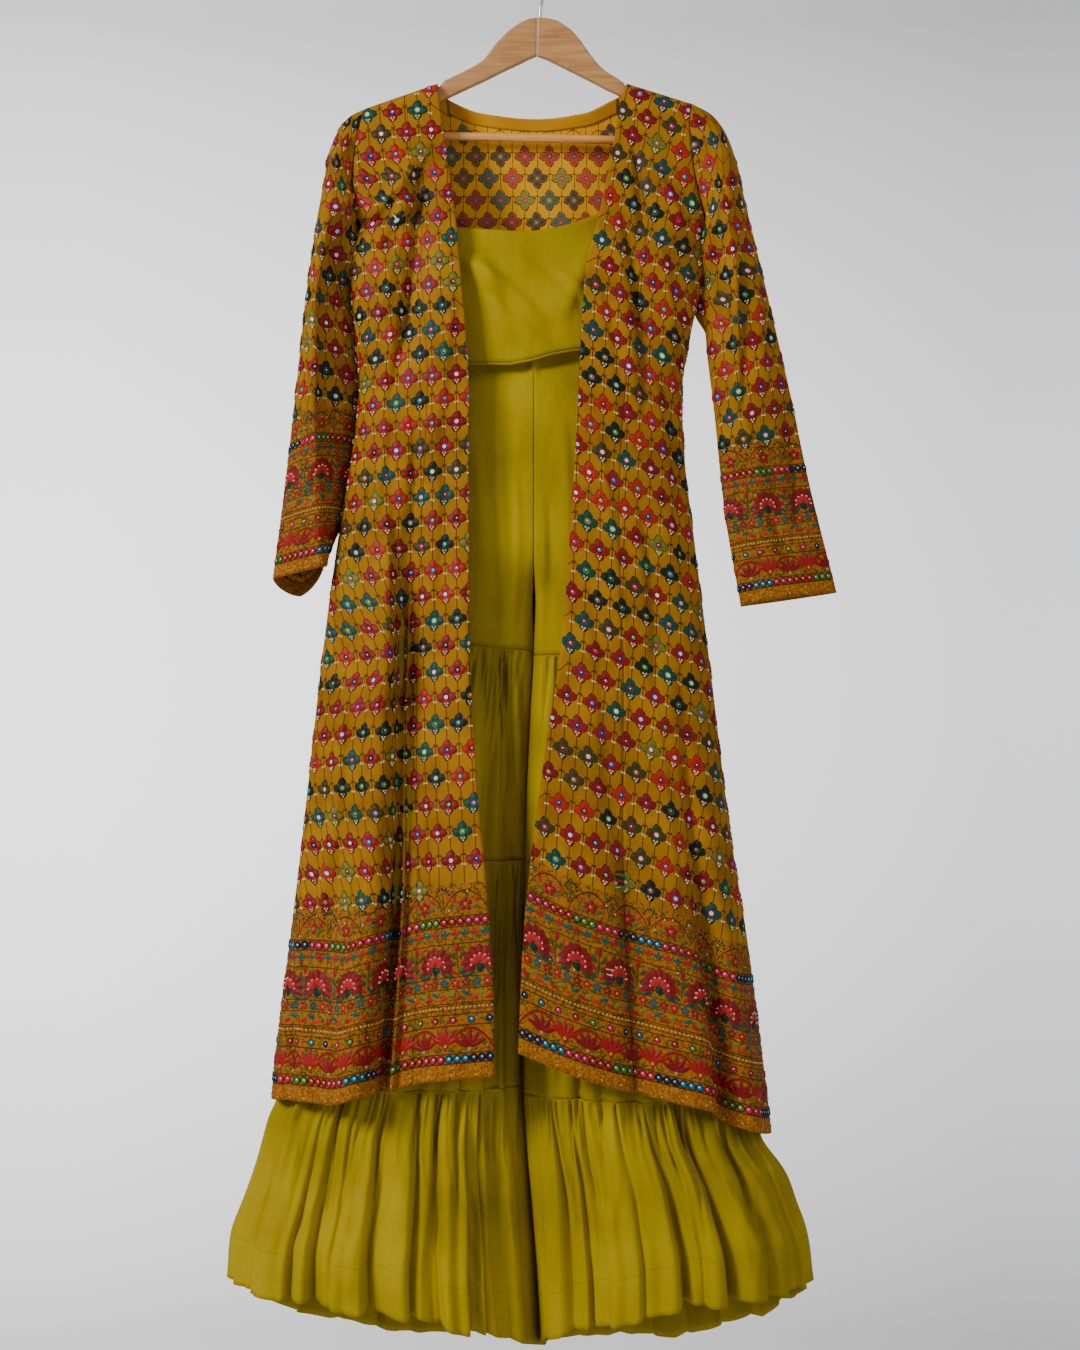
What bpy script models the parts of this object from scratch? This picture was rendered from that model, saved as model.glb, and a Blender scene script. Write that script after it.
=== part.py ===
# Sharara set on a wooden hanger: an open embroidered jacket, a crop top and wide tiered
# trousers, hanging from a steel hook. Metres, +Z up, front towards -Y. The origin is the point
# inside the top of the hook that a rail touches. Tables are in millimetres, and a drop is the
# distance below that point. Left and right are the viewer's.

import math

import bmesh
import bpy
import numpy as np
from mathutils import Matrix

MM = 0.001
SEAM_GAP = 0.3  # between pieces that are sewn together
JACKET_WALL = 1.6
CREPE_WALL = 1.3
RIBBON_WALL = 1.0

SHOULDER_TOP, UNDERARM, NOMINAL_HEM = 140.0, 282.3, 1215.0  # levels down the jacket
SHOULDER_ROLL = 8.0  # radius of the cloth where it bends over the hanger
FORK_START, FORK_END = 615.0, 682.0  # levels where the centre seams curve into the inseams
WAIST_TOP, WAIST_BOTTOM = 385.0, 412.0
ARM_HALF = 6.0  # half the thickness of a hanger arm
DENSE = 401  # points on a section before it is divided evenly


def table(columns, rows):
    """The rows as one array for each named column."""
    return dict(zip(columns.split(), np.array(rows, float).T))


JACKET = table("level open_left side_left side_right open_right front back square", [
    (140, -109.8, -183.0, 162.6, 92.8, -12, 12, 2.8),
    (165, -106.7, -187.0, 165.0, 83.9, -19, 16, 2.5),
    (190, -103.3, -190.0, 170.0, 80.4, -23, 19, 2.3),
    (225, -98.0, -193.0, 175.0, 74.1, -27.5, 22.5, 2.2),
    (282, -89.3, -194.8, 179.7, 61.9, -34, 26, 2.2),
    (340, -84.0, -203.0, 174.0, 48.3, -40, 29, 2.3),
    (400, -78.8, -198.0, 161.0, 44.2, -44, 31, 2.4),
    (460, -74.9, -193.4, 152.0, 41.3, -46, 33, 2.5),
    (520, -74.8, -199.5, 154.4, 38.6, -48, 34, 2.5),
    (600, -74.8, -212.7, 163.9, 33.7, -50, 35, 2.5),
    (680, -74.7, -224.3, 174.3, 28.9, -53, 38, 2.5),
    (760, -73.9, -234.4, 184.7, 22.8, -58, 43, 2.5),
    (840, -70.4, -243.3, 194.5, 11.5, -66, 49, 2.4),
    (920, -64.3, -252.1, 205.4, 0.5, -77, 56, 2.3),
    (1000, -57.0, -261.4, 218.8, -9.3, -89, 63, 2.2),
    (1080, -50.9, -271.2, 230.1, -16.9, -100, 70, 2.4),
    (1150, -47.6, -280.3, 239.2, -20.4, -107, 77, 2.6),
    (1215, -47.5, -286.8, 247.2, -22.7, -112, 84, 2.7),
])
# Part of the way round each front, from its free edge, where the princess seam runs
PRINCESS = table("level left right", [
    (140, 0.42, 0.22), (190, 0.38, 0.30), (240, 0.33, 0.38), (290, 0.31, 0.42),
    (400, 0.31, 0.40), (600, 0.31, 0.33), (900, 0.30, 0.37), (1215, 0.29, 0.38),
])
# Armhole: bow and depth of the seam in front of and behind the line from shoulder to underarm
ARMHOLE = {
    "left": {"front": (-9.0, 22.0), "back": (2.0, 18.0)},
    "right": {"front": (-9.0, 21.0), "back": (1.0, 18.0)},
}
HEM_LEFT = table("q drop", [
    (0, 1183), (0.27, 1189), (0.49, 1201), (0.6, 1206), (0.72, 1214), (0.88, 1213), (1, 1216.4),
])
HEM_RIGHT = table("q drop", [
    (0, 1158), (0.15, 1175), (0.38, 1196), (0.6, 1211), (0.74, 1221), (0.85, 1240), (1, 1253.9),
])
HEM_BACK = table("q drop", [(-1, 1216.4), (-0.5, 1228), (0, 1236), (0.5, 1247), (1, 1253.9)])
NECK_BACK = table("x drop", [
    (-110.1, 134.6), (-107.5, 139), (-103, 145.5), (-95, 151), (-64, 163.5), (-3, 169.9),
    (48, 163.5), (76, 150.5), (86, 145), (90.5, 139), (93.1, 134.6),
])
# Columns of each front's side panel at the hem: they lie on the folds' crests and flanks
SIDE_COLUMNS = {
    "left": (0.29, 0.345, 0.385, 0.42, 0.455, 0.50, 0.54, 0.60, 0.66, 0.73, 0.78, 0.82, 0.88, 1.0),
    "right": (0.38, 0.45, 0.52, 0.57, 0.62, 0.655, 0.69, 0.725, 0.77, 0.83, 0.90, 1.0),
}
# x of the back's columns along its top edge
BACK_COLUMNS = (-183, -159, -135, -110.1, -107.3, -102, -93, -68, -38, -5, 25, 50, 74, 85, 90.2,
                93.1, 116, 139, 162.6)
# Folds: place across the panel at the start and at the hem, half width, depth, first level
FOLDS_LEFT = table("start end width depth level", [
    (0.41, 0.42, 0.034, -25, 490),
    (0.52, 0.53, 0.05, 9, 540),
    (0.66, 0.66, 0.05, -4, 600),
    (0.79, 0.80, 0.035, -9, 660),
    (0.17, 0.17, 0.08, 7, 600),
])
FOLDS_RIGHT = table("start end width depth level", [
    (0.20, 0.20, 0.08, 5, 600),
    (0.40, 0.42, 0.08, -7, 560),
    (0.59, 0.60, 0.05, 7, 640),
    (0.68, 0.69, 0.032, -18, 700),
    (0.79, 0.79, 0.05, 9, 700),
])
FOLDS_BACK = table("start end width depth level", [
    (0.167, 0.167, 0.045, 9, 500),
    (0.278, 0.278, 0.045, -10, 560),
    (0.389, 0.389, 0.045, 9, 460),
    (0.5, 0.5, 0.045, -8, 560),
    (0.611, 0.611, 0.045, 9, 480),
    (0.722, 0.722, 0.045, -10, 560),
    (0.833, 0.833, 0.045, 9, 520),
])

# Four lines down each sleeve: the outer and inner silhouettes, the front and the back. rise and
# fall are how far the front and back of the cuff lie above and below its sides.
SLEEVE_LEFT = table("v outer outer_drop inner inner_drop front front_y back back_y rise fall", [
    (0.00, -183.0, 160.3, -194.8, 282.3, -197.9, -22, -186.9, 18, 0, 0),
    (0.05, -201, 169, -196.8, 291, -206, -28, -199, 23, 0, 0),
    (0.11, -216, 187, -199.2, 304, -214, -33, -208, 26, 0, 0),
    (0.19, -224, 208, -203.4, 325, -221, -36, -214, 28, 0, 0),
    (0.29, -232, 250, -204.0, 355, -227, -38, -218, 29, 1, 1),
    (0.41, -242, 312, -200.0, 392, -233, -38, -221, 30, 2, 3),
    (0.55, -253, 398, -195.3, 445, -237, -38, -226, 32, 4, 6),
    (0.70, -265, 497, -200.2, 515, -238, -37, -236, 34, 6, 10),
    (0.84, -275, 580, -212.5, 586, -237, -36, -247, 35, 8, 16),
    (1.00, -286, 664, -232, 652, -233, -35, -259, 36, 5, 24),
])
SLEEVE_RIGHT = table("v outer outer_drop inner inner_drop front front_y back back_y rise fall", [
    (0.00, 162.6, 156.0, 179.7, 282.3, 162.15, -21, 172.15, 18, 0, 0),
    (0.05, 184, 168, 184.5, 291, 177, -29, 186, 23, 0, 0),
    (0.11, 199, 188, 184.5, 305, 190, -36, 193, 28, 0, 0),
    (0.19, 210, 218, 183, 325, 198, -38, 199, 29, 0, 0),
    (0.29, 219, 258, 180, 355, 203, -38, 203, 29, 0, 0),
    (0.41, 232, 312, 176.5, 388, 207, -35, 208, 28, 0, 0),
    (0.54, 249, 384, 178, 416, 209, -31, 216, 25, 0, 0),
    (0.70, 271, 480, 188, 499, 214, -25, 233, 21, 0, 0),
    (0.84, 290, 569, 197, 588, 230, -20, 247, 17, 0, 0),
    (1.00, 317.5, 679, 215, 694, 252, -17, 269, 14, 0, 0),
])
SLEEVES = {"left": SLEEVE_LEFT, "right": SLEEVE_RIGHT}
SLEEVE_ROWS = np.array([0, 0.05, 0.11, 0.19, 0.29, 0.41, 0.55, 0.70, 0.85, 1.0])
# Troughs along the sleeves: angle from the front line towards the inner line, depth
SLEEVE_TROUGH = {"left": (0.6, 12.0), "right": (0.6, 6.0)}
SLEEVE_RIDGE = 0.35  # how much sharper than an ellipse a sleeve is along its four lines
# How far the left sleeve's inner line is tucked in behind the jacket's side: x and y
SLEEVE_TUCK = {"left": (2.8, 11.0), "right": (0.0, 0.0)}

CROP_TOP_EDGE = table("x drop", [
    (-166, 311), (-135, 294), (-105, 287), (-87, 290.5), (-37, 294), (-18, 295), (20, 290),
    (57, 278), (80, 267.5), (92, 267.5), (112, 281), (151, 304),
])
CROP_HEM = table("x drop", [
    (-166, 435), (-75, 434.5), (-30, 435), (-8, 430.5), (12, 424.5), (45, 419.5), (151, 417),
])
CROP_BACK_TOP, CROP_BACK_HEM = 300.0, (433.0, 417.0)
CROP = table("level left right front back", [
    (260, -166, 151.5, -19, 13), (340, -168, 151.5, -22, 15), (440, -168, 149.8, -27, 18),
])

LEGS = table("level outer_left inner_left inner_right outer_right front back", [
    (385, -158, -6.4, -6.4, 141.5, -15, 9),
    (412, -160, -6.4, -6.4, 142.5, -16, 10),
    (440, -162, -6.4, -6.4, 143.0, -17, 11),
    (470, -168, -6.4, -6.4, 144.5, -18.5, 12),
    (520, -182, -6.4, -6.4, 148.5, -20, 14),
    (600, -200, -6.4, -6.4, 157.0, -23, 18),
    (650, -208, -6.4, -6.4, 162.5, -24, 20),
    (690, -214, -8.0, -5.0, 168.0, -24.5, 21.5),
    (742, -221, -10.0, -4.5, 174.5, -25, 23),
    (800, -228, -13.0, -7.0, 181.5, -31, 27),
    (880, -235, -15.5, -9.5, 189.5, -41, 33),
    (964, -241, -17.0, -11.0, 197.0, -50, 39),
    (1040, -249, -18.0, -12.0, 206.0, -56, 44),
    (1120, -259, -18.5, -12.5, 216.0, -63, 49),
    (1208, -270, -18.0, -12.0, 225.0, -71, 55),
    (1254, -290, -14.0, -8.0, 236.0, -80, 62),
    (1297, -301, -9.0, -3.0, 259.0, -90, 70),
    (1339, -314, -5.0, 1.0, 272.5, -99, 78),
    (1382, -327, -1.5, 4.5, 285.0, -107, 84),
    (1430, -331, 2.0, 8.0, 289.0, -113, 88),
])
LEG_SWAY = 9.0  # the legs' inner sides curve together, so that no light passes between them
# How far each seam round a leg lies below its level: outer side, front, inner side, back
YOKE_SEAM = {"left": (-24, -12, 0, -8), "right": (-4, 2, 4, 0)}
KNEE_SEAM = {"left": (0, 0, 0, 0), "right": (0, 2, 2, 0)}
SHIN_SEAM = {"left": (-12, -6, -4, -4), "right": (6, 6, 2, 4)}
LEG_HEM = {"left": (-20, 3, 54, 72), "right": (-17, -3, 52, 84)}
# Gathered tiers: top and bottom level, waves round one leg, their height at the bottom, rows
TIERS = table("top bottom waves height rows", [
    (742, 964, 14, 5.0, 2),
    (964, 1208, 20, 6.5, 2),
    (1208, 1430, 24, 4.5, 3),
])

# Deep narrow folds between the broad panels of the lowest tier. A place is part of the way round
# the hem, from the outer side over the front, and lean is how far round the fold is by the top
TIER_FOLDS = {
    "left": table("place lean width depth", [
        (0.070, 0.004, 0.012, 6), (0.128, 0.006, 0.010, 13), (0.157, -0.004, 0.009, 15),
        (0.186, 0.004, 0.010, 4), (0.232, -0.006, 0.011, 20), (0.2855, 0.006, 0.010, 17),
        (0.326, -0.004, 0.009, 14), (0.3637, 0.004, 0.010, 18), (0.389, 0.0, 0.008, 8),
        (0.432, 0.0, 0.012, 9), (0.560, 0.004, 0.012, 12), (0.612, -0.006, 0.011, 17),
        (0.668, 0.006, 0.012, 14), (0.722, -0.004, 0.011, 18), (0.770, 0.004, 0.010, 12),
        (0.822, -0.006, 0.012, 18), (0.878, 0.004, 0.011, 15), (0.930, 0.0, 0.012, 10),
    ]),
    "right": table("place lean width depth", [
        (0.060, 0.004, 0.012, 7), (0.123, -0.004, 0.013, 6), (0.1816, 0.006, 0.011, 17),
        (0.217, -0.004, 0.010, 4), (0.2483, 0.004, 0.010, 19), (0.3025, -0.006, 0.012, 8),
        (0.352, 0.004, 0.012, 5), (0.386, -0.004, 0.009, 12), (0.417, 0.0, 0.011, 18),
        (0.452, 0.0, 0.010, 10), (0.556, -0.004, 0.012, 13), (0.604, 0.006, 0.011, 16),
        (0.660, -0.004, 0.012, 17), (0.716, 0.006, 0.011, 13), (0.766, -0.004, 0.011, 18),
        (0.820, 0.004, 0.012, 15), (0.872, -0.006, 0.011, 17), (0.928, 0.0, 0.012, 9),
    ]),
}

# Each hanger arm: its top and bottom edges, out to the lobe that holds the bar
ARM_LEFT = table("x top bottom", [
    (-3.4, 64.3, 105), (-12, 65.5, 108.5), (-21, 69.5, 113), (-32, 77, 118.2),
    (-40, 84.5, 122), (-48, 93, 126), (-54, 101.5, 129), (-60, 109, 132), (-70, 116, 136.6),
    (-90, 126, 146), (-102, 131.6, 151.6), (-107.5, 138, 154.5), (-112, 140.6, 157),
    (-126, 146.2, 164), (-153.9, 155.9, 177), (-154, 156, 200), (-162, 159, 204),
    (-170, 163, 201), (-174, 172, 190),
])
ARM_RIGHT = table("x top bottom", [
    (-3.0, 64.3, 105), (8, 64.8, 109), (19, 67.5, 114.5), (33, 77, 121.5), (40, 84.5, 125),
    (45, 91, 127.5), (52, 101, 131), (58, 109, 134), (64, 116, 137.2), (71, 122, 141),
    (84, 130.2, 147), (89.5, 134.2, 149.5), (92, 139, 150.7), (97, 141.8, 152.6),
    (104, 144.3, 155.6), (118, 148.5, 161.5), (137.9, 154.8, 170), (138, 154.9, 206),
    (146, 157.6, 210), (153, 163, 206), (157, 174, 194),
])
BAR_ENDS, BAR_RADIUS = ((-153.5, 189.1), (137.6, 195.9)), 4.6
HOOK_RING, HOOK_WIRE = 21.0, 1.8
STRAPS = table("x_low x_high front_drop", [(-105, -121, 287), (86, 109.5, 267.5)])
LOOPS = table("x_low x_high", [(-132, -138), (114, 121.5)])
STRAP_WIDTH, LOOP_WIDTH = 10.0, 6.0
PIPING_RADIUS = 1.3

COLLECTION = "sharara_set_on_hanger"
COLOURS = {  # sRGB hex, roughness, metallic
    "mustard_embroidered": ("B47E14", 0.75, 0.0),
    "mustard_facing": ("B88A14", 0.7, 0.0),
    "chartreuse_crepe": ("A38A04", 0.65, 0.0),
    "pale_wood": ("D9A873", 0.5, 0.0),
    "steel": ("B8B8B8", 0.25, 1.0),
}


def clear_scene():
    for thing in list(bpy.data.objects):
        bpy.data.objects.remove(thing, do_unlink=True)


def linear(hex_colour):
    channels = [int(hex_colour[i : i + 2], 16) / 255 for i in (0, 2, 4)]
    return [c / 12.92 if c < 0.04045 else ((c + 0.055) / 1.055) ** 2.4 for c in channels] + [1.0]


def finish_object(name, mesh_or_object, finish):
    """Names a new mesh's object, puts it in the collection and gives it its own material."""
    thing = mesh_or_object
    if isinstance(thing, bpy.types.Mesh):
        thing = bpy.data.objects.new(name, thing)
    thing.name = name
    thing.data.name = name
    for home in list(thing.users_collection):
        home.objects.unlink(thing)
    bpy.data.collections[COLLECTION].objects.link(thing)
    colour, roughness, metallic = COLOURS[finish]
    material = bpy.data.materials.new(name + "_" + finish)
    material.use_nodes = True
    shader = material.node_tree.nodes["Principled BSDF"]
    shader.inputs["Base Color"].default_value = linear(colour)
    shader.inputs["Roughness"].default_value = roughness
    shader.inputs["Metallic"].default_value = metallic
    thing.data.materials.clear()
    thing.data.materials.append(material)
    return thing


def smooth(rows, column, at, key="level"):
    """A column's value at a place, on a smooth curve through the rows that never overshoots."""
    x, y = rows[key], rows[column]
    step = np.diff(x)
    slope = np.diff(y) / step
    tangent = np.zeros_like(y)
    steady = slope[:-1] * slope[1:] > 0
    both = slope[:-1][steady] + slope[1:][steady]
    tangent[1:-1][steady] = 2 * slope[:-1][steady] * slope[1:][steady] / both
    tangent[0], tangent[-1] = slope[0], slope[-1]
    at = np.clip(at, x[0], x[-1])
    i = np.clip(np.searchsorted(x, at, side="right") - 1, 0, len(step) - 1)
    t = (at - x[i]) / step[i]
    start = y[i] * (1 + 2 * t) * (1 - t) ** 2 + tangent[i] * step[i] * t * (1 - t) ** 2
    end = y[i + 1] * t * t * (3 - 2 * t) + tangent[i + 1] * step[i] * t * t * (t - 1)
    return start + end


def ease(t):
    t = np.clip(t, 0.0, 1.0)
    return t * t * (3 - 2 * t)


def divide(points, u):
    """Points at parts u of the length of a dense line, which may have any number of columns."""
    steps = np.linalg.norm(np.diff(points, axis=0), axis=1)
    along = np.concatenate(([0.0], np.cumsum(steps))) / steps.sum()
    return np.stack([np.interp(u, along, points[:, k]) for k in range(points.shape[1])], axis=1)


def plan_normals(points, closed=False):
    """Unit normals in plan, to the right of the direction of travel."""
    if closed:
        ahead = np.roll(points, -1, axis=0) - np.roll(points, 1, axis=0)
    else:
        ahead = np.gradient(points, axis=0)
    normal = np.stack([ahead[:, 1], -ahead[:, 0]], axis=1)
    return normal / np.maximum(np.linalg.norm(normal, axis=1, keepdims=True), 1e-9)


def armhole(side, face, g):
    """x and y of the armhole seam, from the shoulder (g = 0) to the underarm (g = 1)."""
    top = JACKET["side_" + side][0]
    low = smooth(JACKET, "side_" + side, 282.0)
    bow, depth = ARMHOLE[side][face]
    round_part = 2 * math.sqrt(max(g * (1 - g), 0.0))
    sign = -1 if face == "front" else 1
    return top + (low - top) * g + bow * round_part, sign * depth * round_part


def fold_offset(folds, s, level, last=NOMINAL_HEM):
    """How far soft folds stand out of a panel at parts s across it."""
    total = np.zeros_like(s)
    for start, end, width, depth, first in zip(*folds.values()):
        grown = ease((level - first) / (last - first))
        middle = start + (end - start) * grown
        total += depth * grown * np.exp(-(((s - middle) / width) ** 2))
    return total


def drop_between(level, top, hem):
    """Drop of points at a level, between the panel's own top edge and its own hem."""
    if level <= UNDERARM:
        g = (level - SHOULDER_TOP) / (UNDERARM - SHOULDER_TOP)
        return top + g * (UNDERARM - top)
    return UNDERARM + (level - UNDERARM) / (NOMINAL_HEM - UNDERARM) * (hem - UNDERARM)


def side_point(side, face, level):
    """Where a panel ends at one side: on the armhole, and below it on the side seam."""
    seam_y = (-0.5 if face == "front" else 0.5) * SEAM_GAP
    if level < UNDERARM:
        x, y = armhole(side, face, (level - SHOULDER_TOP) / (UNDERARM - SHOULDER_TOP))
        return x, y + seam_y
    return smooth(JACKET, "side_" + side, level), seam_y


def rolled(depth_below_top):
    """How far out the cloth has come on its way over the hanger, from 0 to 1."""
    left = 1 - np.clip(depth_below_top / SHOULDER_ROLL, 0, 1)
    return np.sqrt(1 - left * left)


def jacket_front(side):
    """place(level, u) of one front: u is 0 at its free edge and 1 at its side."""
    hem = HEM_LEFT if side == "left" else HEM_RIGHT
    folds = FOLDS_LEFT if side == "left" else FOLDS_RIGHT
    neck_drop, arm_drop = 134.6, SLEEVES[side]["outer_drop"][0]

    def place(level, u):
        angle = np.linspace(0, math.pi / 2, DENSE)
        power = 2 / smooth(JACKET, "square", level)
        q = np.sin(angle) ** power
        edge_x = smooth(JACKET, "open_" + side, level)
        side_x, side_y = side_point(side, "front", level)
        top = neck_drop + (arm_drop - neck_drop) * q
        drop = drop_between(level, top, smooth(hem, "drop", q, "q"))
        flat = smooth(JACKET, "front", level) * rolled(drop - top) - 0.5 * SEAM_GAP
        x = edge_x + (side_x - edge_x) * q
        y = side_y + (flat - side_y) * np.cos(angle) ** power
        line = divide(np.stack([x, y, drop], axis=1), np.linspace(0, 1, DENSE))
        s = np.linspace(0, 1, DENSE)
        outward = plan_normals(line[:, :2]) * (-1 if side == "left" else 1)
        line[:, :2] += outward * fold_offset(folds, s, level)[:, None]
        return np.stack([np.interp(u, s, line[:, k]) for k in range(3)], axis=1)

    return place


def jacket_back(level, u):
    """The back panel: u is 0 at the left side and 1 at the right side."""
    angle = np.linspace(-math.pi / 2, math.pi / 2, DENSE)
    power = 2 / smooth(JACKET, "square", level)
    q = np.sign(angle) * np.abs(np.sin(angle)) ** power
    left_x, left_y = side_point("left", "back", level)
    right_x, right_y = side_point("right", "back", level)
    x = left_x + (right_x - left_x) * (q + 1) / 2
    first_x = JACKET["side_left"][0] + (JACKET["side_right"][0] - JACKET["side_left"][0]) * (q + 1) / 2
    slope_left = np.interp(first_x, [-183.0, -110.1], [160.3, 134.6])
    slope_right = np.interp(first_x, [93.1, 162.6], [134.6, 156.0])
    shoulder = np.where(first_x < -110.1, slope_left, np.where(first_x > 93.1, slope_right, 134.6))
    in_neck = (first_x > -110.1) & (first_x < 93.1)
    top = np.where(in_neck, smooth(NECK_BACK, "drop", first_x, "x"), shoulder)
    drop = drop_between(level, top, smooth(HEM_BACK, "drop", q, "q"))
    flat = smooth(JACKET, "back", level) * rolled(drop - shoulder) + 0.5 * SEAM_GAP
    side_y = left_y + (right_y - left_y) * (q + 1) / 2
    y = side_y + (flat - side_y) * np.cos(angle) ** power
    line = divide(np.stack([x, y, drop], axis=1), np.linspace(0, 1, DENSE))
    s = np.linspace(0, 1, DENSE)
    outward = -plan_normals(line[:, :2])
    line[:, :2] += outward * fold_offset(FOLDS_BACK, s, level)[:, None]
    return np.stack([np.interp(u, s, line[:, k]) for k in range(3)], axis=1)


def sleeve(side):
    """place(v, u) of one sleeve: u runs round from the front line over the outer line."""
    rows = SLEEVES[side]
    outward = -1 if side == "left" else 1
    trough_at, trough_depth = SLEEVE_TROUGH[side]
    tuck_x, tuck_y = SLEEVE_TUCK[side]

    def place(v, u):
        at = {name: smooth(rows, name, v, "v") for name in rows if name != "v"}
        middle = np.array([(at["outer"] + at["inner"]) / 2, 0,
                           (at["outer_drop"] + at["inner_drop"]) / 2])
        angle = 2 * math.pi * np.asarray(u)
        power = 1 + SLEEVE_RIDGE * ease((v - 0.05) / 0.25)
        c, s = (np.sign(wave) * np.abs(wave) ** power for wave in (np.cos(angle), np.sin(angle)))
        outer = np.array([at["outer"] - middle[0], 0, at["outer_drop"] - middle[2]])
        front = np.array([at["front"] - middle[0], at["front_y"], -at["rise"]])
        back = np.array([at["back"] - middle[0], at["back_y"], at["fall"]])
        deep = np.where(c[:, None] > 0, c[:, None] * front, -c[:, None] * back)
        points = middle + s[:, None] * outer + deep
        turn = np.angle(np.exp(1j * (angle + trough_at)))
        dent = trough_depth * ease((v - 0.12) / 0.25) * ease((1.05 - v) / 0.5)
        inward = middle - points
        inward[:, 2] = 0
        inward /= np.maximum(np.linalg.norm(inward, axis=1, keepdims=True), 1e-9)
        points += inward * (dent * np.exp(-((turn / 0.42) ** 2)))[:, None]
        inner = np.clip(-s, 0, 1) ** 2 * ease((v - 0.05) / 0.12) * (1 - ease((v - 0.85) / 0.15))
        points[:, 0] += outward * ((SEAM_GAP + 0.3) * (1 - ease(v / 0.1)) - tuck_x * inner)
        points[:, 1] += tuck_y * inner
        return points

    return place


def crop_panel(face):
    """place(v, u) of the crop top's front or back: v is 0 at the top edge and 1 at the hem."""

    def place(v, u):
        angle = np.linspace(-math.pi / 2, math.pi / 2, DENSE)
        q = np.sign(angle) * np.abs(np.sin(angle)) ** 0.8
        level = 285 + 150 * v
        left, right = smooth(CROP, "left", level), smooth(CROP, "right", level)
        x = left + (right - left) * (q + 1) / 2
        if face == "front":
            top = smooth(CROP_TOP_EDGE, "drop", x, "x")
            hem = smooth(CROP_HEM, "drop", x, "x")
        else:
            top = np.full_like(x, CROP_BACK_TOP)
            hem = CROP_BACK_HEM[0] + (CROP_BACK_HEM[1] - CROP_BACK_HEM[0]) * (q + 1) / 2
        seam = (-0.5 if face == "front" else 0.5) * SEAM_GAP
        y = seam + (smooth(CROP, face, level) - seam) * np.cos(angle) ** 0.8
        line = np.stack([x, y, top + (hem - top) * v], axis=1)
        return divide(line, u)

    return place


def leg_outline(side, level):
    """Plan of one leg at a level, from the outer side over the front to the inner side and
    back, evenly divided, with no folds. Above the fork it stays open at the centre seams."""
    outer, inner = smooth(LEGS, "outer_" + side, level), smooth(LEGS, "inner_" + side, level)
    apart = 0.5 * SEAM_GAP * (-1 if side == "left" else 1)
    front, back = smooth(LEGS, "front", level), smooth(LEGS, "back", level)
    closed = ease((level - FORK_START) / (FORK_END - FORK_START))
    angle = np.linspace(-math.pi / 2, math.pi / 2, DENSE)
    power = np.where(angle < 0, np.interp(level, (412, 700, 1208), (0.68, 0.85, 1.0)), 0.85)
    q = np.sign(angle) * np.abs(np.sin(angle)) ** power
    round_part = np.cos(angle) ** power
    x = outer + (inner + apart - outer) * (q + 1) / 2
    faces = []
    for depth, gap in ((front, -0.5 * SEAM_GAP), (back, 0.5 * SEAM_GAP)):
        inner_y = gap + (depth - gap) * (1 - closed)
        base = gap + (inner_y - gap) * (q + 1) / 2
        y = base + (depth - base) * np.where(q < 0, round_part, 1 - closed + closed * round_part)
        swung = x + LEG_SWAY * ease((level - 700) / 200) * ease(q) * np.sin(y / 32)
        faces.append(divide(np.stack([swung, y], axis=1), np.linspace(0, 1, DENSE)))
    return faces


def seam_drop(offsets, face, q):
    """How far a seam round a leg lies below its level; the back falls quickly from the side."""
    outer, front, inner, back = offsets
    if face == 0:
        return np.interp(q, [0, 0.5, 1], [outer, front, inner])
    return np.interp(q, [0, 0.22, 0.5, 1], [outer, outer + 0.65 * (back - outer), back, inner])


def yoke_panel(side, face):
    """place(v, u) of a yoke piece: u is 0 at the side seam and 1 at the centre or inseam."""
    index = 0 if face == "front" else 1

    def place(v, u):
        level = WAIST_BOTTOM + SEAM_GAP + (TIERS["top"][0] - WAIST_BOTTOM - SEAM_GAP) * v
        line = divide(leg_outline(side, level)[index], u)
        lowered = seam_drop(YOKE_SEAM[side], index, u) * v**3
        return np.column_stack([line, level + lowered])

    return place


def wave_phase(count, side, tier):
    """Part of the way round at each wave's phase: the waves are uneven in width."""
    s = np.linspace(0, 1, 400)
    shift = 0.9 * tier + (0.4 if side == "right" else 0)
    swing = 0.3 * np.sin(6.283 * (3 * s + shift)) + 0.2 * np.sin(6.283 * (7 * s + 2 * shift))
    phase = count * s + swing * count / 24
    return s, phase - phase[0]


def wave_height(s, count, side, tier):
    """Gathers round a leg, from -1 to 1: broad crests of uneven height with narrow valleys."""
    base, phase = wave_phase(count, side, tier)
    turned = np.interp(s % 1.0, base, phase)
    width = count / np.interp(s % 1.0, base, np.gradient(phase, base))
    shift = 1.3 * tier + (0.5 if side == "right" else 0)
    uneven = np.clip(width, 0.6, 1.3) * (0.85 + 0.15 * np.sin(6.283 * (2 * s + shift)))
    return (2 * (0.5 + 0.5 * np.cos(2 * math.pi * turned)) ** 0.6 - 1) * uneven


def fold_stand(side, s, v):
    """The lowest tier's deep folds, as how far they lie inside the panels between them."""
    total = np.zeros_like(s)
    for place, lean, width, depth in zip(*TIER_FOLDS[side].values()):
        total -= depth * np.exp(-(((s - place - lean * (1 - v)) / width) ** 2))
    return total * v**0.7


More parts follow.
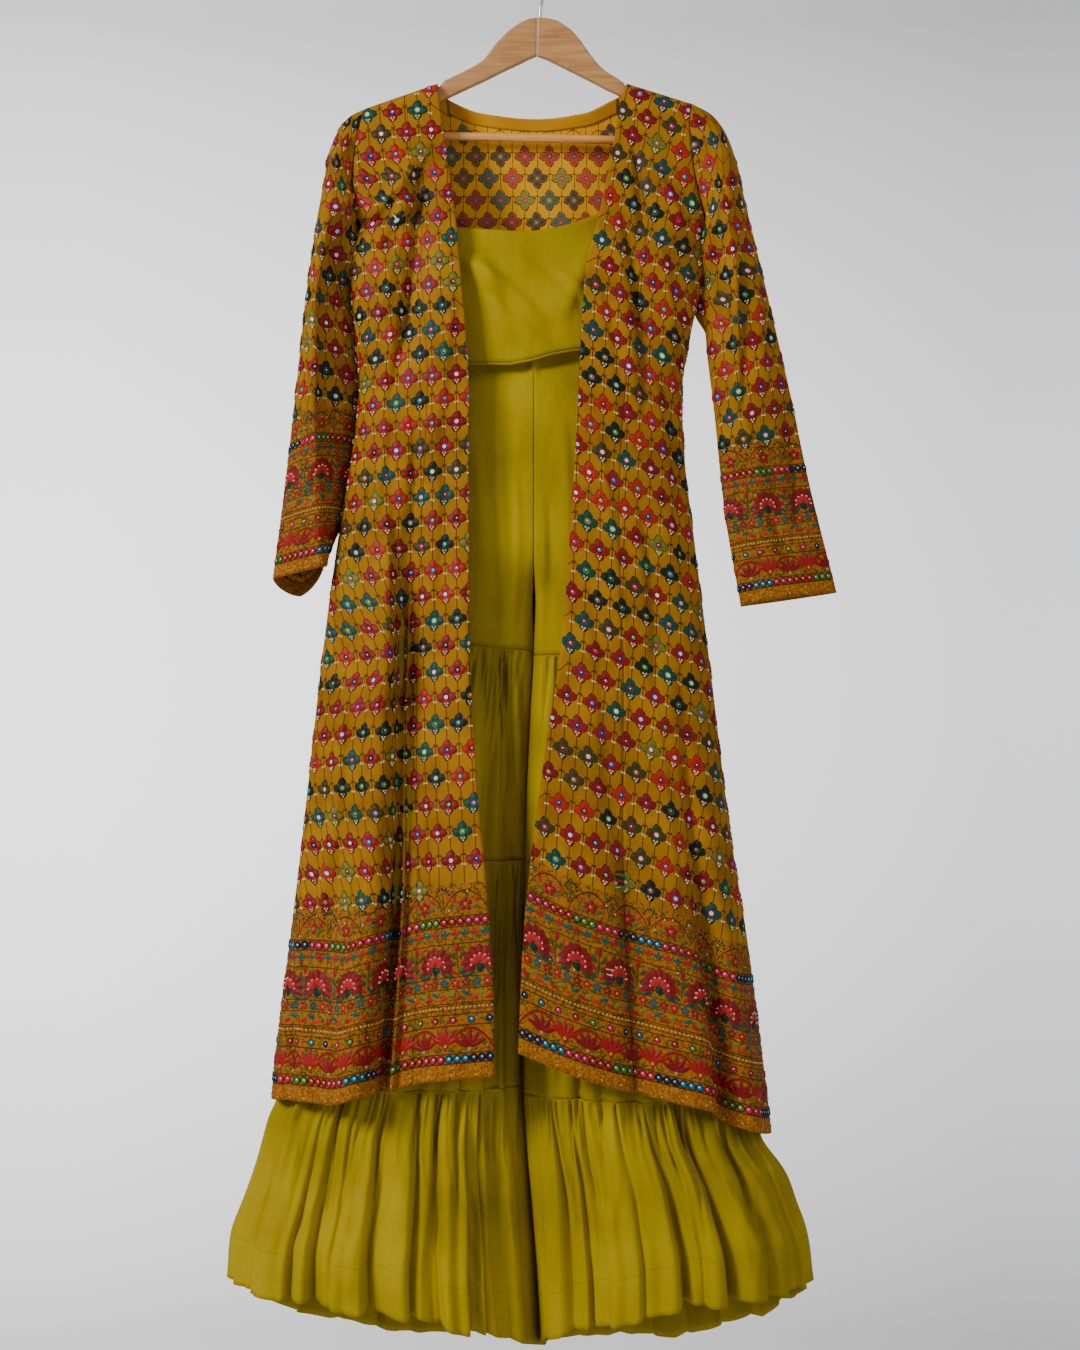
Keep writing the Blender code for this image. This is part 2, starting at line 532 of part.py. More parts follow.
def tier(side, number):
    """place(v, u) of a gathered tier: u runs round from the outer side over the front."""
    top, bottom, count, height = (TIERS[k][number] for k in ("top", "bottom", "waves", "height"))
    above = (TIERS["waves"][number - 1], TIERS["height"][number - 1]) if number else None
    high, low = (YOKE_SEAM, KNEE_SEAM, SHIN_SEAM, LEG_HEM)[number : number + 2]

    def place(v, u):
        level = top + SEAM_GAP + (bottom - top - SEAM_GAP) * v
        front, back = leg_outline(side, level)
        across = np.linspace(0, 1, DENSE)
        offsets = [seam_drop(high[side], k, across) * (1 - v) + seam_drop(low[side], k, across) * v
                   for k in (0, 1)]
        ring = np.concatenate([front, back[::-1][1:]])
        lowered = np.concatenate([offsets[0], offsets[1][::-1][1:]])
        round_way = np.linspace(0, 1, 4 * DENSE)
        line = divide(np.column_stack([ring, level + lowered]), round_way)
        outward = plan_normals(line[:, :2])
        if ((line[DENSE, :2] - ring.mean(axis=0)) * outward[DENSE]).sum() < 0:
            outward = -outward
        inner_x = smooth(LEGS, "inner_" + side, level)
        calm = 1 - 0.87 * ease(1 - np.abs(line[:, 0] - inner_x) / 60)
        stand = height * v**0.8 * wave_height(round_way, count, side, number)
        if above:
            carried = wave_height(round_way, above[0], side, number - 1)
            stand = stand + above[1] * (1 - ease(v / 0.3)) * carried
        if number == 2:
            stand = stand + fold_stand(side, round_way, v)
        line[:, :2] += outward * (stand * calm)[:, None]
        return np.stack([np.interp(u, round_way, line[:, k]) for k in range(3)], axis=1)

    return place


def waistband(v, u):
    level = WAIST_TOP + (WAIST_BOTTOM - WAIST_TOP) * v
    left_front, left_back = leg_outline("left", level)
    right_front, right_back = leg_outline("right", level)
    ring = np.concatenate([left_front, right_front[::-1], right_back, left_back[::-1]])
    line = divide(ring, u)
    return np.column_stack([line, np.full(len(line), level)])


def facing_strip(level, u):
    """The plain strip inside the back neck, on the back's inner face."""
    line = jacket_back(level, np.interp(u, np.linspace(0, 1, 9), back_columns(level)[5:14]))
    line[:, 1] -= JACKET_WALL + SEAM_GAP + 0.15
    return line


def to_world(points):
    """From x, y and drop in millimetres to metres with Z up."""
    return np.asarray(points) * (MM, MM, -MM)


def surface_normals(place, row, u, rows, tube):
    """Unit normals of a surface, on the same side of it for every row."""
    tiny_u, tiny_v = 0.002, 0.002 * (rows[-1] - rows[0])
    if tube:
        ahead = place(row, (u + tiny_u) % 1.0) - place(row, (u - tiny_u) % 1.0)
    else:
        ahead = place(row, np.minimum(u + tiny_u, 1)) - place(row, np.maximum(u - tiny_u, 0))
    high, low = place(max(row - tiny_v, rows[0]), u), place(min(row + tiny_v, rows[-1]), u)
    normal = np.cross(ahead * (1, 1, -1), (low - high) * (1, 1, -1))
    return normal / np.linalg.norm(normal, axis=1, keepdims=True)


def outward_sign(place, row, u, rows, tube):
    """Whether those normals point out of the garment (1) or into it (-1), from one row."""
    away = place(row, u)[:, :2]
    away = away - (away[:, 0].mean(), away[:, 1].mean() if tube else 0.0)
    return 1 if (surface_normals(place, row, u, rows, tube)[:, :2] * away).sum() > 0 else -1


def wall(name, place, rows, columns, thick, finish, tube=False, level_ends=False):
    """A cloth wall: its outer face is place(row, columns) and its inner face lies inside that by
    the wall. columns is an array, or a function that gives one for each row."""
    across = columns if callable(columns) else (lambda row: columns)
    middle = rows[len(rows) // 2]
    sign = outward_sign(place, middle, across(middle), rows, tube)
    outer, inner = [], []
    for row in rows:
        u = across(row)
        normal = sign * surface_normals(place, row, u, rows, tube)
        if level_ends and row in (rows[0], rows[-1]):
            normal[:, 2] = 0
        if not tube:
            normal[np.abs(place(row, u)[:, 1]) < SEAM_GAP, 1] = 0
        normal /= np.linalg.norm(normal, axis=1, keepdims=True)
        outer.append(to_world(place(row, u)))
        inner.append(outer[-1] - normal * thick * MM)
    return build_wall(name, np.array(outer), np.array(inner), finish, tube)


def build_wall(name, outer, inner, finish, tube):
    """A closed wall between two grids of points: the faces of the first are extruded to the
    second. A tube's first and last columns are the same points and are joined."""
    rows, columns = outer.shape[:2]
    shape = bmesh.new()
    bmesh.ops.create_grid(shape, x_segments=columns - 1, y_segments=rows - 1, size=0.5)
    number = shape.verts.layers.int.new("number")
    for index, (vertex, place) in enumerate(zip(shape.verts, outer.reshape(-1, 3))):
        vertex.co = place
        vertex[number] = index
    bmesh.ops.triangulate(shape, faces=shape.faces[:], quad_method="FIXED")
    if tube:
        bmesh.ops.remove_doubles(shape, verts=shape.verts[:], dist=2e-6)
    made = bmesh.ops.extrude_face_region(shape, geom=shape.faces[:], use_keep_orig=True)
    places = inner.reshape(-1, 3)
    for vertex in [item for item in made["geom"] if isinstance(item, bmesh.types.BMVert)]:
        vertex.co = places[vertex[number]]
    bmesh.ops.recalc_face_normals(shape, faces=shape.faces[:])
    mesh = bpy.data.meshes.new(name)
    shape.to_mesh(mesh)
    shape.free()
    mesh.shade_smooth()
    mesh.set_sharp_from_angle(angle=math.radians(40))
    return finish_object(name, mesh, finish)


def curve_piece(name, points, radius, finish, closed=False, sides=2):
    """A round piece along a line of points, as a closed mesh."""
    curve = bpy.data.curves.new(name, "CURVE")
    curve.dimensions = "3D"
    curve.bevel_depth = radius
    curve.bevel_resolution = sides
    curve.use_fill_caps = True
    spline = curve.splines.new("POLY")
    spline.points.add(len(points) - 1)
    for point, place in zip(spline.points, points):
        point.co = (*place, 1)
    spline.use_cyclic_u = closed
    return curve_to_mesh(name, curve, finish)


def curve_to_mesh(name, curve, finish, matrix=Matrix.Identity(4)):
    holder = bpy.data.objects.new(name + "_curve", curve)
    bpy.data.collections[COLLECTION].objects.link(holder)
    bpy.context.view_layer.update()
    seen = holder.evaluated_get(bpy.context.evaluated_depsgraph_get())
    mesh = bpy.data.meshes.new_from_object(seen)
    bpy.data.objects.remove(holder, do_unlink=True)
    shape = bmesh.new()
    shape.from_mesh(mesh)
    bmesh.ops.remove_doubles(shape, verts=shape.verts[:], dist=1e-5)
    bmesh.ops.transform(shape, matrix=matrix, verts=shape.verts[:])
    bmesh.ops.recalc_face_normals(shape, faces=shape.faces[:])
    shape.to_mesh(mesh)
    shape.free()
    mesh.shade_smooth()
    mesh.set_sharp_from_angle(angle=math.radians(40))
    return finish_object(name, mesh, finish)


def make_arm(name, rows):
    """A flat outline with bevelled edges, as thick as the hanger's wood."""
    bevel = 2.5 * MM
    curve = bpy.data.curves.new(name, "CURVE")
    curve.dimensions = "2D"
    curve.fill_mode = "BOTH"
    curve.extrude = ARM_HALF * MM - bevel
    curve.bevel_depth = bevel
    curve.bevel_resolution = 0
    curve.offset = -bevel
    outline = list(zip(rows["x"], rows["top"])) + list(zip(rows["x"], rows["bottom"]))[::-1]
    spline = curve.splines.new("POLY")
    spline.points.add(len(outline) - 1)
    for point, (x, drop) in zip(spline.points, outline):
        point.co = (x * MM, -drop * MM, 0, 1)
    spline.use_cyclic_u = True
    return curve_to_mesh(name, curve, "pale_wood", Matrix.Rotation(math.pi / 2, 4, "X"))


def make_bar():
    ends = [(x * MM, 0, -drop * MM) for x, drop in BAR_ENDS]
    return curve_piece("hanger_bar", ends, BAR_RADIUS * MM, "pale_wood", sides=3)


def make_hook():
    """Stem out of the wood, a short bend to the right, then most of a ring."""
    ring_middle = HOOK_RING - HOOK_WIRE
    points = []
    for x, drop in ((0.0, 63.7), (0.1, 58.0), (0.7, 53.0), (2.2, 47.5)):
        points.append((x, drop))
    for degrees in range(-76, 196, 17):
        turn = math.radians(degrees)
        points.append((HOOK_RING * math.cos(turn), ring_middle - HOOK_RING * math.sin(turn)))
    line = [(x * MM, 0, -drop * MM) for x, drop in points]
    return curve_piece("hanger_hook", line, HOOK_WIRE * MM, "steel", sides=2)


def arm_top(x):
    """Drop of the hanger's top edge at an x."""
    rows = ARM_LEFT if x < 0 else ARM_RIGHT
    order = np.argsort(rows["x"])
    return float(np.interp(x, rows["x"][order], rows["top"][order]))


def ribbon(name, line, width, finish):
    """A flat ribbon whose middle runs along a line of x, y, drop and the slope across it."""
    line = np.array(line, float)
    places = np.arange(len(line), dtype=float)

    def place(v, u):
        x, y, drop, slope = (np.interp(v, places, line[:, k]) for k in range(4))
        off = (np.asarray(u) - 0.5) * width
        return np.stack([x + off, y + 0 * off, drop + slope * off], axis=1)

    return strip_wall(name, place, places, finish)


def strip_wall(name, place, places, finish):
    """A ribbon's solid: its outer face is the side away from the hanger arm it crosses."""
    u = np.array([0.0, 1.0])
    outer = np.array([to_world(place(v, u)) for v in places])
    middle = outer.mean(axis=1)
    ahead = np.gradient(middle, axis=0)
    normal = np.stack([0 * ahead[:, 0], -ahead[:, 2], ahead[:, 1]], axis=1)
    normal /= np.linalg.norm(normal, axis=1, keepdims=True)
    if normal[len(normal) // 2, 2] < 0:
        normal = -normal
    inner = outer - normal[:, None, :] * RIBBON_WALL * MM
    return build_wall(name, outer, inner, finish, False)


def over_arm(x_low, x_high, front_start, back_start, low_slope=0.0):
    """Points of a ribbon from the front, over a hanger arm and down the back: each start is
    y and drop. They lie on the ribbon's outer face."""
    top = arm_top(x_high)
    slope = (arm_top(x_high + 3) - arm_top(x_high - 3)) / 6
    off = 0.35 + RIBBON_WALL
    side_y, corner, flat = ARM_HALF + off, 2.5 - 0.41 * off, ARM_HALF - 2.5 + 0.41 * off
    half = [
        (x_low, front_start[0], front_start[1], low_slope),
        (x_high + 0.12 * (x_low - x_high), -side_y - 0.4, top + 28, slope),
        (x_high, -side_y, top + corner, slope),
        (x_high, -flat, top - off, slope),
    ]
    other = [(x, -y, drop, tilt) for x, y, drop, tilt in half[::-1]]
    other[-1] = (x_low, back_start[0], back_start[1], low_slope)
    return half + other


def make_hanger():
    make_arm("hanger_arm_left", ARM_LEFT)
    make_arm("hanger_arm_right", ARM_RIGHT)
    make_bar()
    make_hook()


def jacket_rows():
    count = 9
    upper = [SHOULDER_TOP + (UNDERARM - SHOULDER_TOP) * (1 - math.cos(math.pi * k / count)) / 2
             for k in range(count + 1)]
    lower = [335, 400, 455, 520, 610, 710, 810, 915, 1015, 1115, NOMINAL_HEM]
    return np.array(upper + lower)


def front_columns(side, part):
    """Columns of a front's centre or side panel for each row: they end at the princess seam and
    lower down they follow the folds."""
    half_gap = 0.5 * SEAM_GAP / 200.0
    at_hem = np.array(SIDE_COLUMNS[side])
    spread = (at_hem - at_hem[0]) / (1 - at_hem[0])

    def columns(row):
        seam = smooth(PRINCESS, side, row)
        if part == "centre":
            return np.linspace(0, 1, 5) * (seam - half_gap)
        lowered = ease((row - 300) / 300)
        mixed = np.linspace(0, 1, len(spread)) * (1 - lowered) + spread * lowered
        return seam + half_gap + (1 - seam - half_gap) * mixed

    return columns


def back_columns(row):
    """Columns of the back for each row: at the top they lie on the corners of the neck."""
    dense = np.linspace(0, 1, 800)
    at_top = np.interp(BACK_COLUMNS, jacket_back(SHOULDER_TOP, dense)[:, 0], dense)
    lowered = ease((row - SHOULDER_TOP) / 300)
    return at_top * (1 - lowered) + np.linspace(0, 1, len(at_top)) * lowered


def make_jacket():
    rows = jacket_rows()
    for side in ("left", "right"):
        for part in ("centre", "side"):
            wall("jacket_front_" + part + "_" + side, jacket_front(side), rows,
                 front_columns(side, part), JACKET_WALL, "mustard_embroidered")
        wall("jacket_sleeve_" + side, sleeve(side), SLEEVE_ROWS, 0.25 + np.linspace(0, 1, 19),
             JACKET_WALL, "mustard_embroidered", tube=True)
    wall("jacket_back", jacket_back, rows, back_columns, JACKET_WALL,
         "mustard_embroidered")


def toward_ends(count):
    """Parts across a panel, closer together near its two ends."""
    t = np.linspace(0, 1, count)
    return 0.55 * t + 0.45 * (1 - np.cos(math.pi * t)) / 2


def make_crop_top():
    rows, columns = np.linspace(0, 1, 4), {"front": toward_ends(19), "back": toward_ends(15)}
    for face in ("front", "back"):
        wall("crop_top_" + face, crop_panel(face), rows, columns[face], CREPE_WALL,
             "chartreuse_crepe")
    for side, x_low, x_high, drop in zip(("left", "right"), *STRAPS.values()):
        slope = edge_drop(x_low + 5) - edge_drop(x_low - 5)
        line = over_arm(x_low, x_high, (edge_depth("front", x_low), drop - SEAM_GAP),
                        (edge_depth("back", x_low), CROP_BACK_TOP - SEAM_GAP), 0.0)
        line[0] = (*line[0][:3], slope / 10)
        ribbon("crop_top_strap_" + side, line, STRAP_WIDTH, "chartreuse_crepe")
    front = crop_panel("front")(1.0, columns["front"])
    back = crop_panel("back")(1.0, columns["back"][::-1])
    ring = np.concatenate([front, back[1:-1]])
    ring[:, 1] *= 0.975
    ring[:, 2] += PIPING_RADIUS + SEAM_GAP + 0.15
    curve_piece("crop_top_hem_piping", to_world(ring), PIPING_RADIUS * MM, "chartreuse_crepe",
                closed=True, sides=1)


def edge_drop(x):
    """Drop of the crop top's front top edge at an x."""
    return float(smooth(CROP_TOP_EDGE, "drop", np.array([x]), "x")[0])


def edge_depth(face, x):
    """y of the crop top's top edge at an x."""
    line = crop_panel(face)(0.0, np.linspace(0, 1, 200))
    return float(np.interp(x, line[:, 0], line[:, 1]))


def fold_columns(side):
    """Columns for the lowest tier: close together at each fold, and leaning with it."""
    folds = TIER_FOLDS[side]
    steps = np.array([-1.7, -0.85, 0, 0.85, 1.7])
    close = (folds["place"][:, None] + folds["width"][:, None] * steps).ravel()
    even = [s for s in np.linspace(0, 1, 49) if np.abs(close - s).min() > 0.009]
    at_hem = np.sort(np.concatenate([close, even]))
    lean = np.interp(at_hem, [0, *folds["place"], 1], [0, *folds["lean"], 0])
    return lambda v: at_hem + lean * (1 - v)


def make_sharara():
    half = toward_ends(17) / 2
    around = np.concatenate([half, 0.5 + half[1:]])
    wall("sharara_waistband", waistband, np.array([0.0, 1.0]), around, CREPE_WALL,
         "chartreuse_crepe", tube=True, level_ends=True)
    yoke_rows = (np.array([412.3, 440, 520, 600, 630, 655, 682, 710, 742]) - 412.3) / (742 - 412.3)
    for side in ("left", "right"):
        for face in ("front", "back"):
            wall("sharara_yoke_" + face + "_" + side, yoke_panel(side, face), yoke_rows,
                 toward_ends(11), CREPE_WALL, "chartreuse_crepe", level_ends=True)
        for number in range(3):
            count, rows = int(TIERS["waves"][number]), int(TIERS["rows"][number])
            base, phase = wave_phase(count, side, number)
            columns = np.interp(np.arange(4 * count + 1) / 4, phase, base)
            if number == 2:
                columns = fold_columns(side)
            wall("sharara_tier_%d_%s" % (number + 1, side), tier(side, number),
                 np.linspace(0, 1, rows + 1), columns, CREPE_WALL, "chartreuse_crepe", tube=True,
                 level_ends=True)
    for side, x_low, x_high in zip(("left", "right"), *LOOPS.values()):
        low = WAIST_TOP + 8
        outer_x = x_low + (-3 if x_low < 0 else 3)
        front = np.interp(outer_x, *waist_line(0, low))
        back = np.interp(outer_x, *waist_line(1, low))
        inside = CREPE_WALL + SEAM_GAP + 0.3
        line = over_arm(x_low, x_high, (front + inside, low), (back - inside, low))
        ribbon("sharara_loop_" + side, line, LOOP_WIDTH, "chartreuse_crepe")


def waist_line(face, level):
    """x and y along the waistband's front (0) or back (1), from left to right."""
    left, right = leg_outline("left", level)[face], leg_outline("right", level)[face][::-1]
    line = np.concatenate([left, right])
    return line[:, 0], line[:, 1]


def main():
    clear_scene()
    collection = bpy.data.collections.new(COLLECTION)
    bpy.context.scene.collection.children.link(collection)
    make_hanger()
    make_jacket()
    wall("jacket_neck_facing", facing_strip, np.append(141.4, jacket_rows()[1:3]),
         np.linspace(0, 1, 9), 1.0, "mustard_facing")
    make_crop_top()
    make_sharara()


main()
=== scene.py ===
import functools
import math
import random

import bmesh
import bpy
import numpy as np
from mathutils import Matrix, Vector


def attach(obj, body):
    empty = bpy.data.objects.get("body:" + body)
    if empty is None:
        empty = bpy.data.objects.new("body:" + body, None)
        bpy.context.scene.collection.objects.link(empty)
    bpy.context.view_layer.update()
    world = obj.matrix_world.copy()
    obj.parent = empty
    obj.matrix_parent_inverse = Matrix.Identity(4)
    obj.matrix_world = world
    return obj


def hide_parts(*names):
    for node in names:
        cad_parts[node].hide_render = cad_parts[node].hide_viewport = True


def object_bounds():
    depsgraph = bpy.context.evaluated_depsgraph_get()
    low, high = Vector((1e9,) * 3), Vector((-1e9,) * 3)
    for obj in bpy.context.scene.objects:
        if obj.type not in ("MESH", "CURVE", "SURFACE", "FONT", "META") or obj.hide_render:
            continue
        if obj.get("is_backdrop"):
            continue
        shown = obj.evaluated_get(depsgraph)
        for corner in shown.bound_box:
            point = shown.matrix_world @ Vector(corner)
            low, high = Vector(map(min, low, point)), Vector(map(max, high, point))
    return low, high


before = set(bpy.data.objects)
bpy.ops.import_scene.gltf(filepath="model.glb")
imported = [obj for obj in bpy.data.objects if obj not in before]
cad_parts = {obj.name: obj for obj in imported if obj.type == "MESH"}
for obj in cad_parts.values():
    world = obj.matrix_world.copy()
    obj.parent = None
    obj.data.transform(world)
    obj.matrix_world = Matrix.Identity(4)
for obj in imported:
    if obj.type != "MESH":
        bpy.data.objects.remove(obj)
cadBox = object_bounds()

# Sharara set on a wooden hanger. Tables are in millimetres and a drop is the distance below the
# origin, as in the CAD source; left and right are the viewer's. The cloth surfaces are the ones
# that the solids were made from, drawn finer and with the creases added.

mm = 0.001
seamGap = 0.3
jacketWall, crepeWall = 1.6, 1.3
shoulderTop, underarm, nominalHem = 140.0, 282.3, 1215.0
shoulderRoll = 8.0
# Corners of the shoulders: x and drop where each meets the neck, and x where it meets the sleeve
neckLeft, neckRight, neckDrop = -110.1, 93.1, 134.6
shoulderLeft, shoulderRight = -183.0, 162.6
shoulderDrops = {"Left": 160.3, "Right": 156.0}
forkStart, forkEnd = 615.0, 682.0
waistTop, waistBottom = 385.0, 412.0
dense = 401


def table(columns, rows):
    return dict(zip(columns.split(), np.array(rows, float).T))


jacket = table("level openLeft sideLeft sideRight openRight front back square", [
    (140, -109.8, -183, 162.6, 92.8, -12, 12, 2.8),
    (165, -106.7, -187, 165, 83.9, -19, 16, 2.5),
    (190, -103.3, -190, 170, 80.4, -23, 19, 2.3),
    (225, -98, -193, 175, 74.1, -27.5, 22.5, 2.2),
    (282, -89.3, -194.8, 179.7, 61.9, -34, 26, 2.2),
    (340, -84, -203, 174, 48.3, -40, 29, 2.3),
    (400, -78.8, -198, 161, 44.2, -44, 31, 2.4),
    (460, -74.9, -193.4, 152, 41.3, -46, 33, 2.5),
    (520, -74.8, -199.5, 154.4, 38.6, -48, 34, 2.5),
    (600, -74.8, -212.7, 163.9, 33.7, -50, 35, 2.5),
    (680, -74.7, -224.3, 174.3, 28.9, -53, 38, 2.5),
    (760, -73.9, -234.4, 184.7, 22.8, -58, 43, 2.5),
    (840, -70.4, -243.3, 194.5, 11.5, -66, 49, 2.4),
    (920, -64.3, -252.1, 205.4, 0.5, -77, 56, 2.3),
    (1000, -57, -261.4, 218.8, -9.3, -89, 63, 2.2),
    (1080, -50.9, -271.2, 230.1, -16.9, -100, 70, 2.4),
    (1150, -47.6, -280.3, 239.2, -20.4, -107, 77, 2.6),
    (1215, -47.5, -286.8, 247.2, -22.7, -112, 84, 2.7),
])
# Part of the way round each front, from its free edge, where the princess seam runs
princess = table("level Left Right", [
    (140, 0.42, 0.22), (190, 0.38, 0.30), (240, 0.33, 0.38), (290, 0.31, 0.42),
    (400, 0.31, 0.40), (600, 0.31, 0.33), (900, 0.30, 0.37), (1215, 0.29, 0.38),
])
# How far each armhole bows out and how deep it is, in front and behind
armholes = {
    "Left": {"front": (-9.0, 22.0), "back": (2.0, 18.0)},
    "Right": {"front": (-9.0, 21.0), "back": (1.0, 18.0)},
}
# Hems: q runs from the free edge to the side seam, or from the left side seam to the right one
frontHems = {
    "Left": table("q drop", [(0, 1183), (0.27, 1189), (0.49, 1201), (0.6, 1206), (0.72, 1214),
                             (0.88, 1213), (1, 1216.4)]),
    "Right": table("q drop", [(0, 1158), (0.15, 1175), (0.38, 1196), (0.6, 1211), (0.74, 1221),
                              (0.85, 1240), (1, 1253.9)]),
}
backHem = table("q drop", [(-1, 1216.4), (-0.5, 1228), (0, 1236), (0.5, 1247), (1, 1253.9)])
backNeck = table("x drop", [
    (-110.1, 134.6), (-107.5, 139), (-103, 145.5), (-95, 151), (-64, 163.5), (-3, 169.9),
    (48, 163.5), (76, 150.5), (86, 145), (90.5, 139), (93.1, 134.6),
])
# Columns of each front's side panel at the hem: they lie on the folds' crests and flanks
sideColumns = {
    "Left": (0.29, 0.345, 0.385, 0.42, 0.455, 0.50, 0.54, 0.60, 0.66, 0.73, 0.78, 0.82, 0.88, 1.0),
    "Right": (0.38, 0.45, 0.52, 0.57, 0.62, 0.655, 0.69, 0.725, 0.77, 0.83, 0.90, 1.0),
}
backColumns = (-183, -159, -135, -110.1, -107.3, -102, -93, -68, -38, -5, 25, 50, 74, 85, 90.2,
               93.1, 116, 139, 162.6)
# Vertical folds: place at the shoulders and at the hem and width, in shares of the way round, how
# far each stands out at the hem, and the level where it starts
folds = {
    "Left": table("start end width depth level", [
        (0.41, 0.42, 0.034, -25, 490), (0.52, 0.53, 0.05, 9, 540), (0.66, 0.66, 0.05, -4, 600),
        (0.79, 0.80, 0.035, -9, 660), (0.17, 0.17, 0.08, 7, 600),
    ]),
    "Right": table("start end width depth level", [
        (0.20, 0.20, 0.08, 5, 600), (0.40, 0.42, 0.08, -7, 560), (0.59, 0.60, 0.05, 7, 640),
        (0.68, 0.69, 0.032, -18, 700), (0.79, 0.79, 0.05, 9, 700),
    ]),
    "back": table("start end width depth level", [
        (0.167, 0.167, 0.045, 9, 500), (0.278, 0.278, 0.045, -10, 560),
        (0.389, 0.389, 0.045, 9, 460), (0.5, 0.5, 0.045, -8, 560),
        (0.611, 0.611, 0.045, 9, 480), (0.722, 0.722, 0.045, -10, 560),
        (0.833, 0.833, 0.045, 9, 520),
    ]),
}
def smooth(rows, column, at, key="level"):
    x, y = rows[key], rows[column]
    step = np.diff(x)
    slope = np.diff(y) / step
    tangent = np.zeros_like(y)
    steady = slope[:-1] * slope[1:] > 0
    both = slope[:-1][steady] + slope[1:][steady]
    tangent[1:-1][steady] = 2 * slope[:-1][steady] * slope[1:][steady] / both
    tangent[0], tangent[-1] = slope[0], slope[-1]
    at = np.clip(at, x[0], x[-1])
    i = np.clip(np.searchsorted(x, at, side="right") - 1, 0, len(step) - 1)
    t = (at - x[i]) / step[i]
    start = y[i] * (1 + 2 * t) * (1 - t) ** 2 + tangent[i] * step[i] * t * (1 - t) ** 2
    end = y[i + 1] * t * t * (3 - 2 * t) + tangent[i + 1] * step[i] * t * t * (t - 1)
    return start + end


def ease(t):
    t = np.clip(t, 0.0, 1.0)
    return t * t * (3 - 2 * t)


def divide(points, u):
    steps = np.linalg.norm(np.diff(points, axis=0), axis=1)
    along = np.concatenate(([0.0], np.cumsum(steps))) / steps.sum()
    return np.stack([np.interp(u, along, points[:, k]) for k in range(points.shape[1])], axis=1)


def planNormals(points):
    ahead = np.gradient(points, axis=0)
    normal = np.stack([ahead[:, 1], -ahead[:, 0]], axis=1)
    return normal / np.maximum(np.linalg.norm(normal, axis=1, keepdims=True), 1e-9)


def foldOffset(rows, s, level):
    total = np.zeros_like(s)
    for start, end, width, depth, first in zip(*rows.values()):
        grown = ease((level - first) / (nominalHem - first))
        middle = start + (end - start) * grown
        total += depth * grown * np.exp(-(((s - middle) / width) ** 2))
    return total


def dropBetween(level, top, hem):
    if level <= underarm:
        return top + (level - shoulderTop) / (underarm - shoulderTop) * (underarm - top)
    return underarm + (level - underarm) / (nominalHem - underarm) * (hem - underarm)


def sidePoint(side, face, level):
    seamY = (-0.5 if face == "front" else 0.5) * seamGap
    if level < underarm:
        g = (level - shoulderTop) / (underarm - shoulderTop)
        top, low = jacket["side" + side][0], smooth(jacket, "side" + side, 282.0)
        bow, depth = armholes[side][face]
        roundPart = 2 * math.sqrt(max(g * (1 - g), 0.0))
        sign = -1 if face == "front" else 1
        return top + (low - top) * g + bow * roundPart, sign * depth * roundPart + seamY
    return smooth(jacket, "side" + side, level), seamY


def rolled(depthBelowTop):
    left = 1 - np.clip(depthBelowTop / shoulderRoll, 0, 1)
    return np.sqrt(1 - left * left)


def jacketFront(side):
    armDrop = shoulderDrops[side]

    def place(level, u):
        angle = np.linspace(0, math.pi / 2, dense)
        power = 2 / smooth(jacket, "square", level)
        q = np.sin(angle) ** power
        edgeX = smooth(jacket, "open" + side, level)
        sideX, sideY = sidePoint(side, "front", level)
        top = neckDrop + (armDrop - neckDrop) * q
        drop = dropBetween(level, top, smooth(frontHems[side], "drop", q, "q"))
        flat = smooth(jacket, "front", level) * rolled(drop - top) - 0.5 * seamGap
        x = edgeX + (sideX - edgeX) * q
        y = sideY + (flat - sideY) * np.cos(angle) ** power
        line = divide(np.stack([x, y, drop], axis=1), np.linspace(0, 1, dense))
        s = np.linspace(0, 1, dense)
        outward = planNormals(line[:, :2]) * (-1 if side == "Left" else 1)
        line[:, :2] += outward * foldOffset(folds[side], s, level)[:, None]
        return np.stack([np.interp(u, s, line[:, k]) for k in range(3)], axis=1)

    return place


def jacketBack(level, u):
    angle = np.linspace(-math.pi / 2, math.pi / 2, dense)
    power = 2 / smooth(jacket, "square", level)
    q = np.sign(angle) * np.abs(np.sin(angle)) ** power
    leftX, leftY = sidePoint("Left", "back", level)
    rightX, rightY = sidePoint("Right", "back", level)
    x = leftX + (rightX - leftX) * (q + 1) / 2
    firstX = shoulderLeft + (shoulderRight - shoulderLeft) * (q + 1) / 2
    shoulder = np.interp(firstX, [shoulderLeft, neckLeft, neckRight, shoulderRight],
                         [shoulderDrops["Left"], neckDrop, neckDrop, shoulderDrops["Right"]])
    inNeck = (firstX > neckLeft) & (firstX < neckRight)
    top = np.where(inNeck, smooth(backNeck, "drop", firstX, "x"), shoulder)
    drop = dropBetween(level, top, smooth(backHem, "drop", q, "q"))
    flat = smooth(jacket, "back", level) * rolled(drop - shoulder) + 0.5 * seamGap
    sideY = leftY + (rightY - leftY) * (q + 1) / 2
    y = sideY + (flat - sideY) * np.cos(angle) ** power
    line = divide(np.stack([x, y, drop], axis=1), np.linspace(0, 1, dense))
    s = np.linspace(0, 1, dense)
    line[:, :2] -= planNormals(line[:, :2]) * foldOffset(folds["back"], s, level)[:, None]
    return np.stack([np.interp(u, s, line[:, k]) for k in range(3)], axis=1)


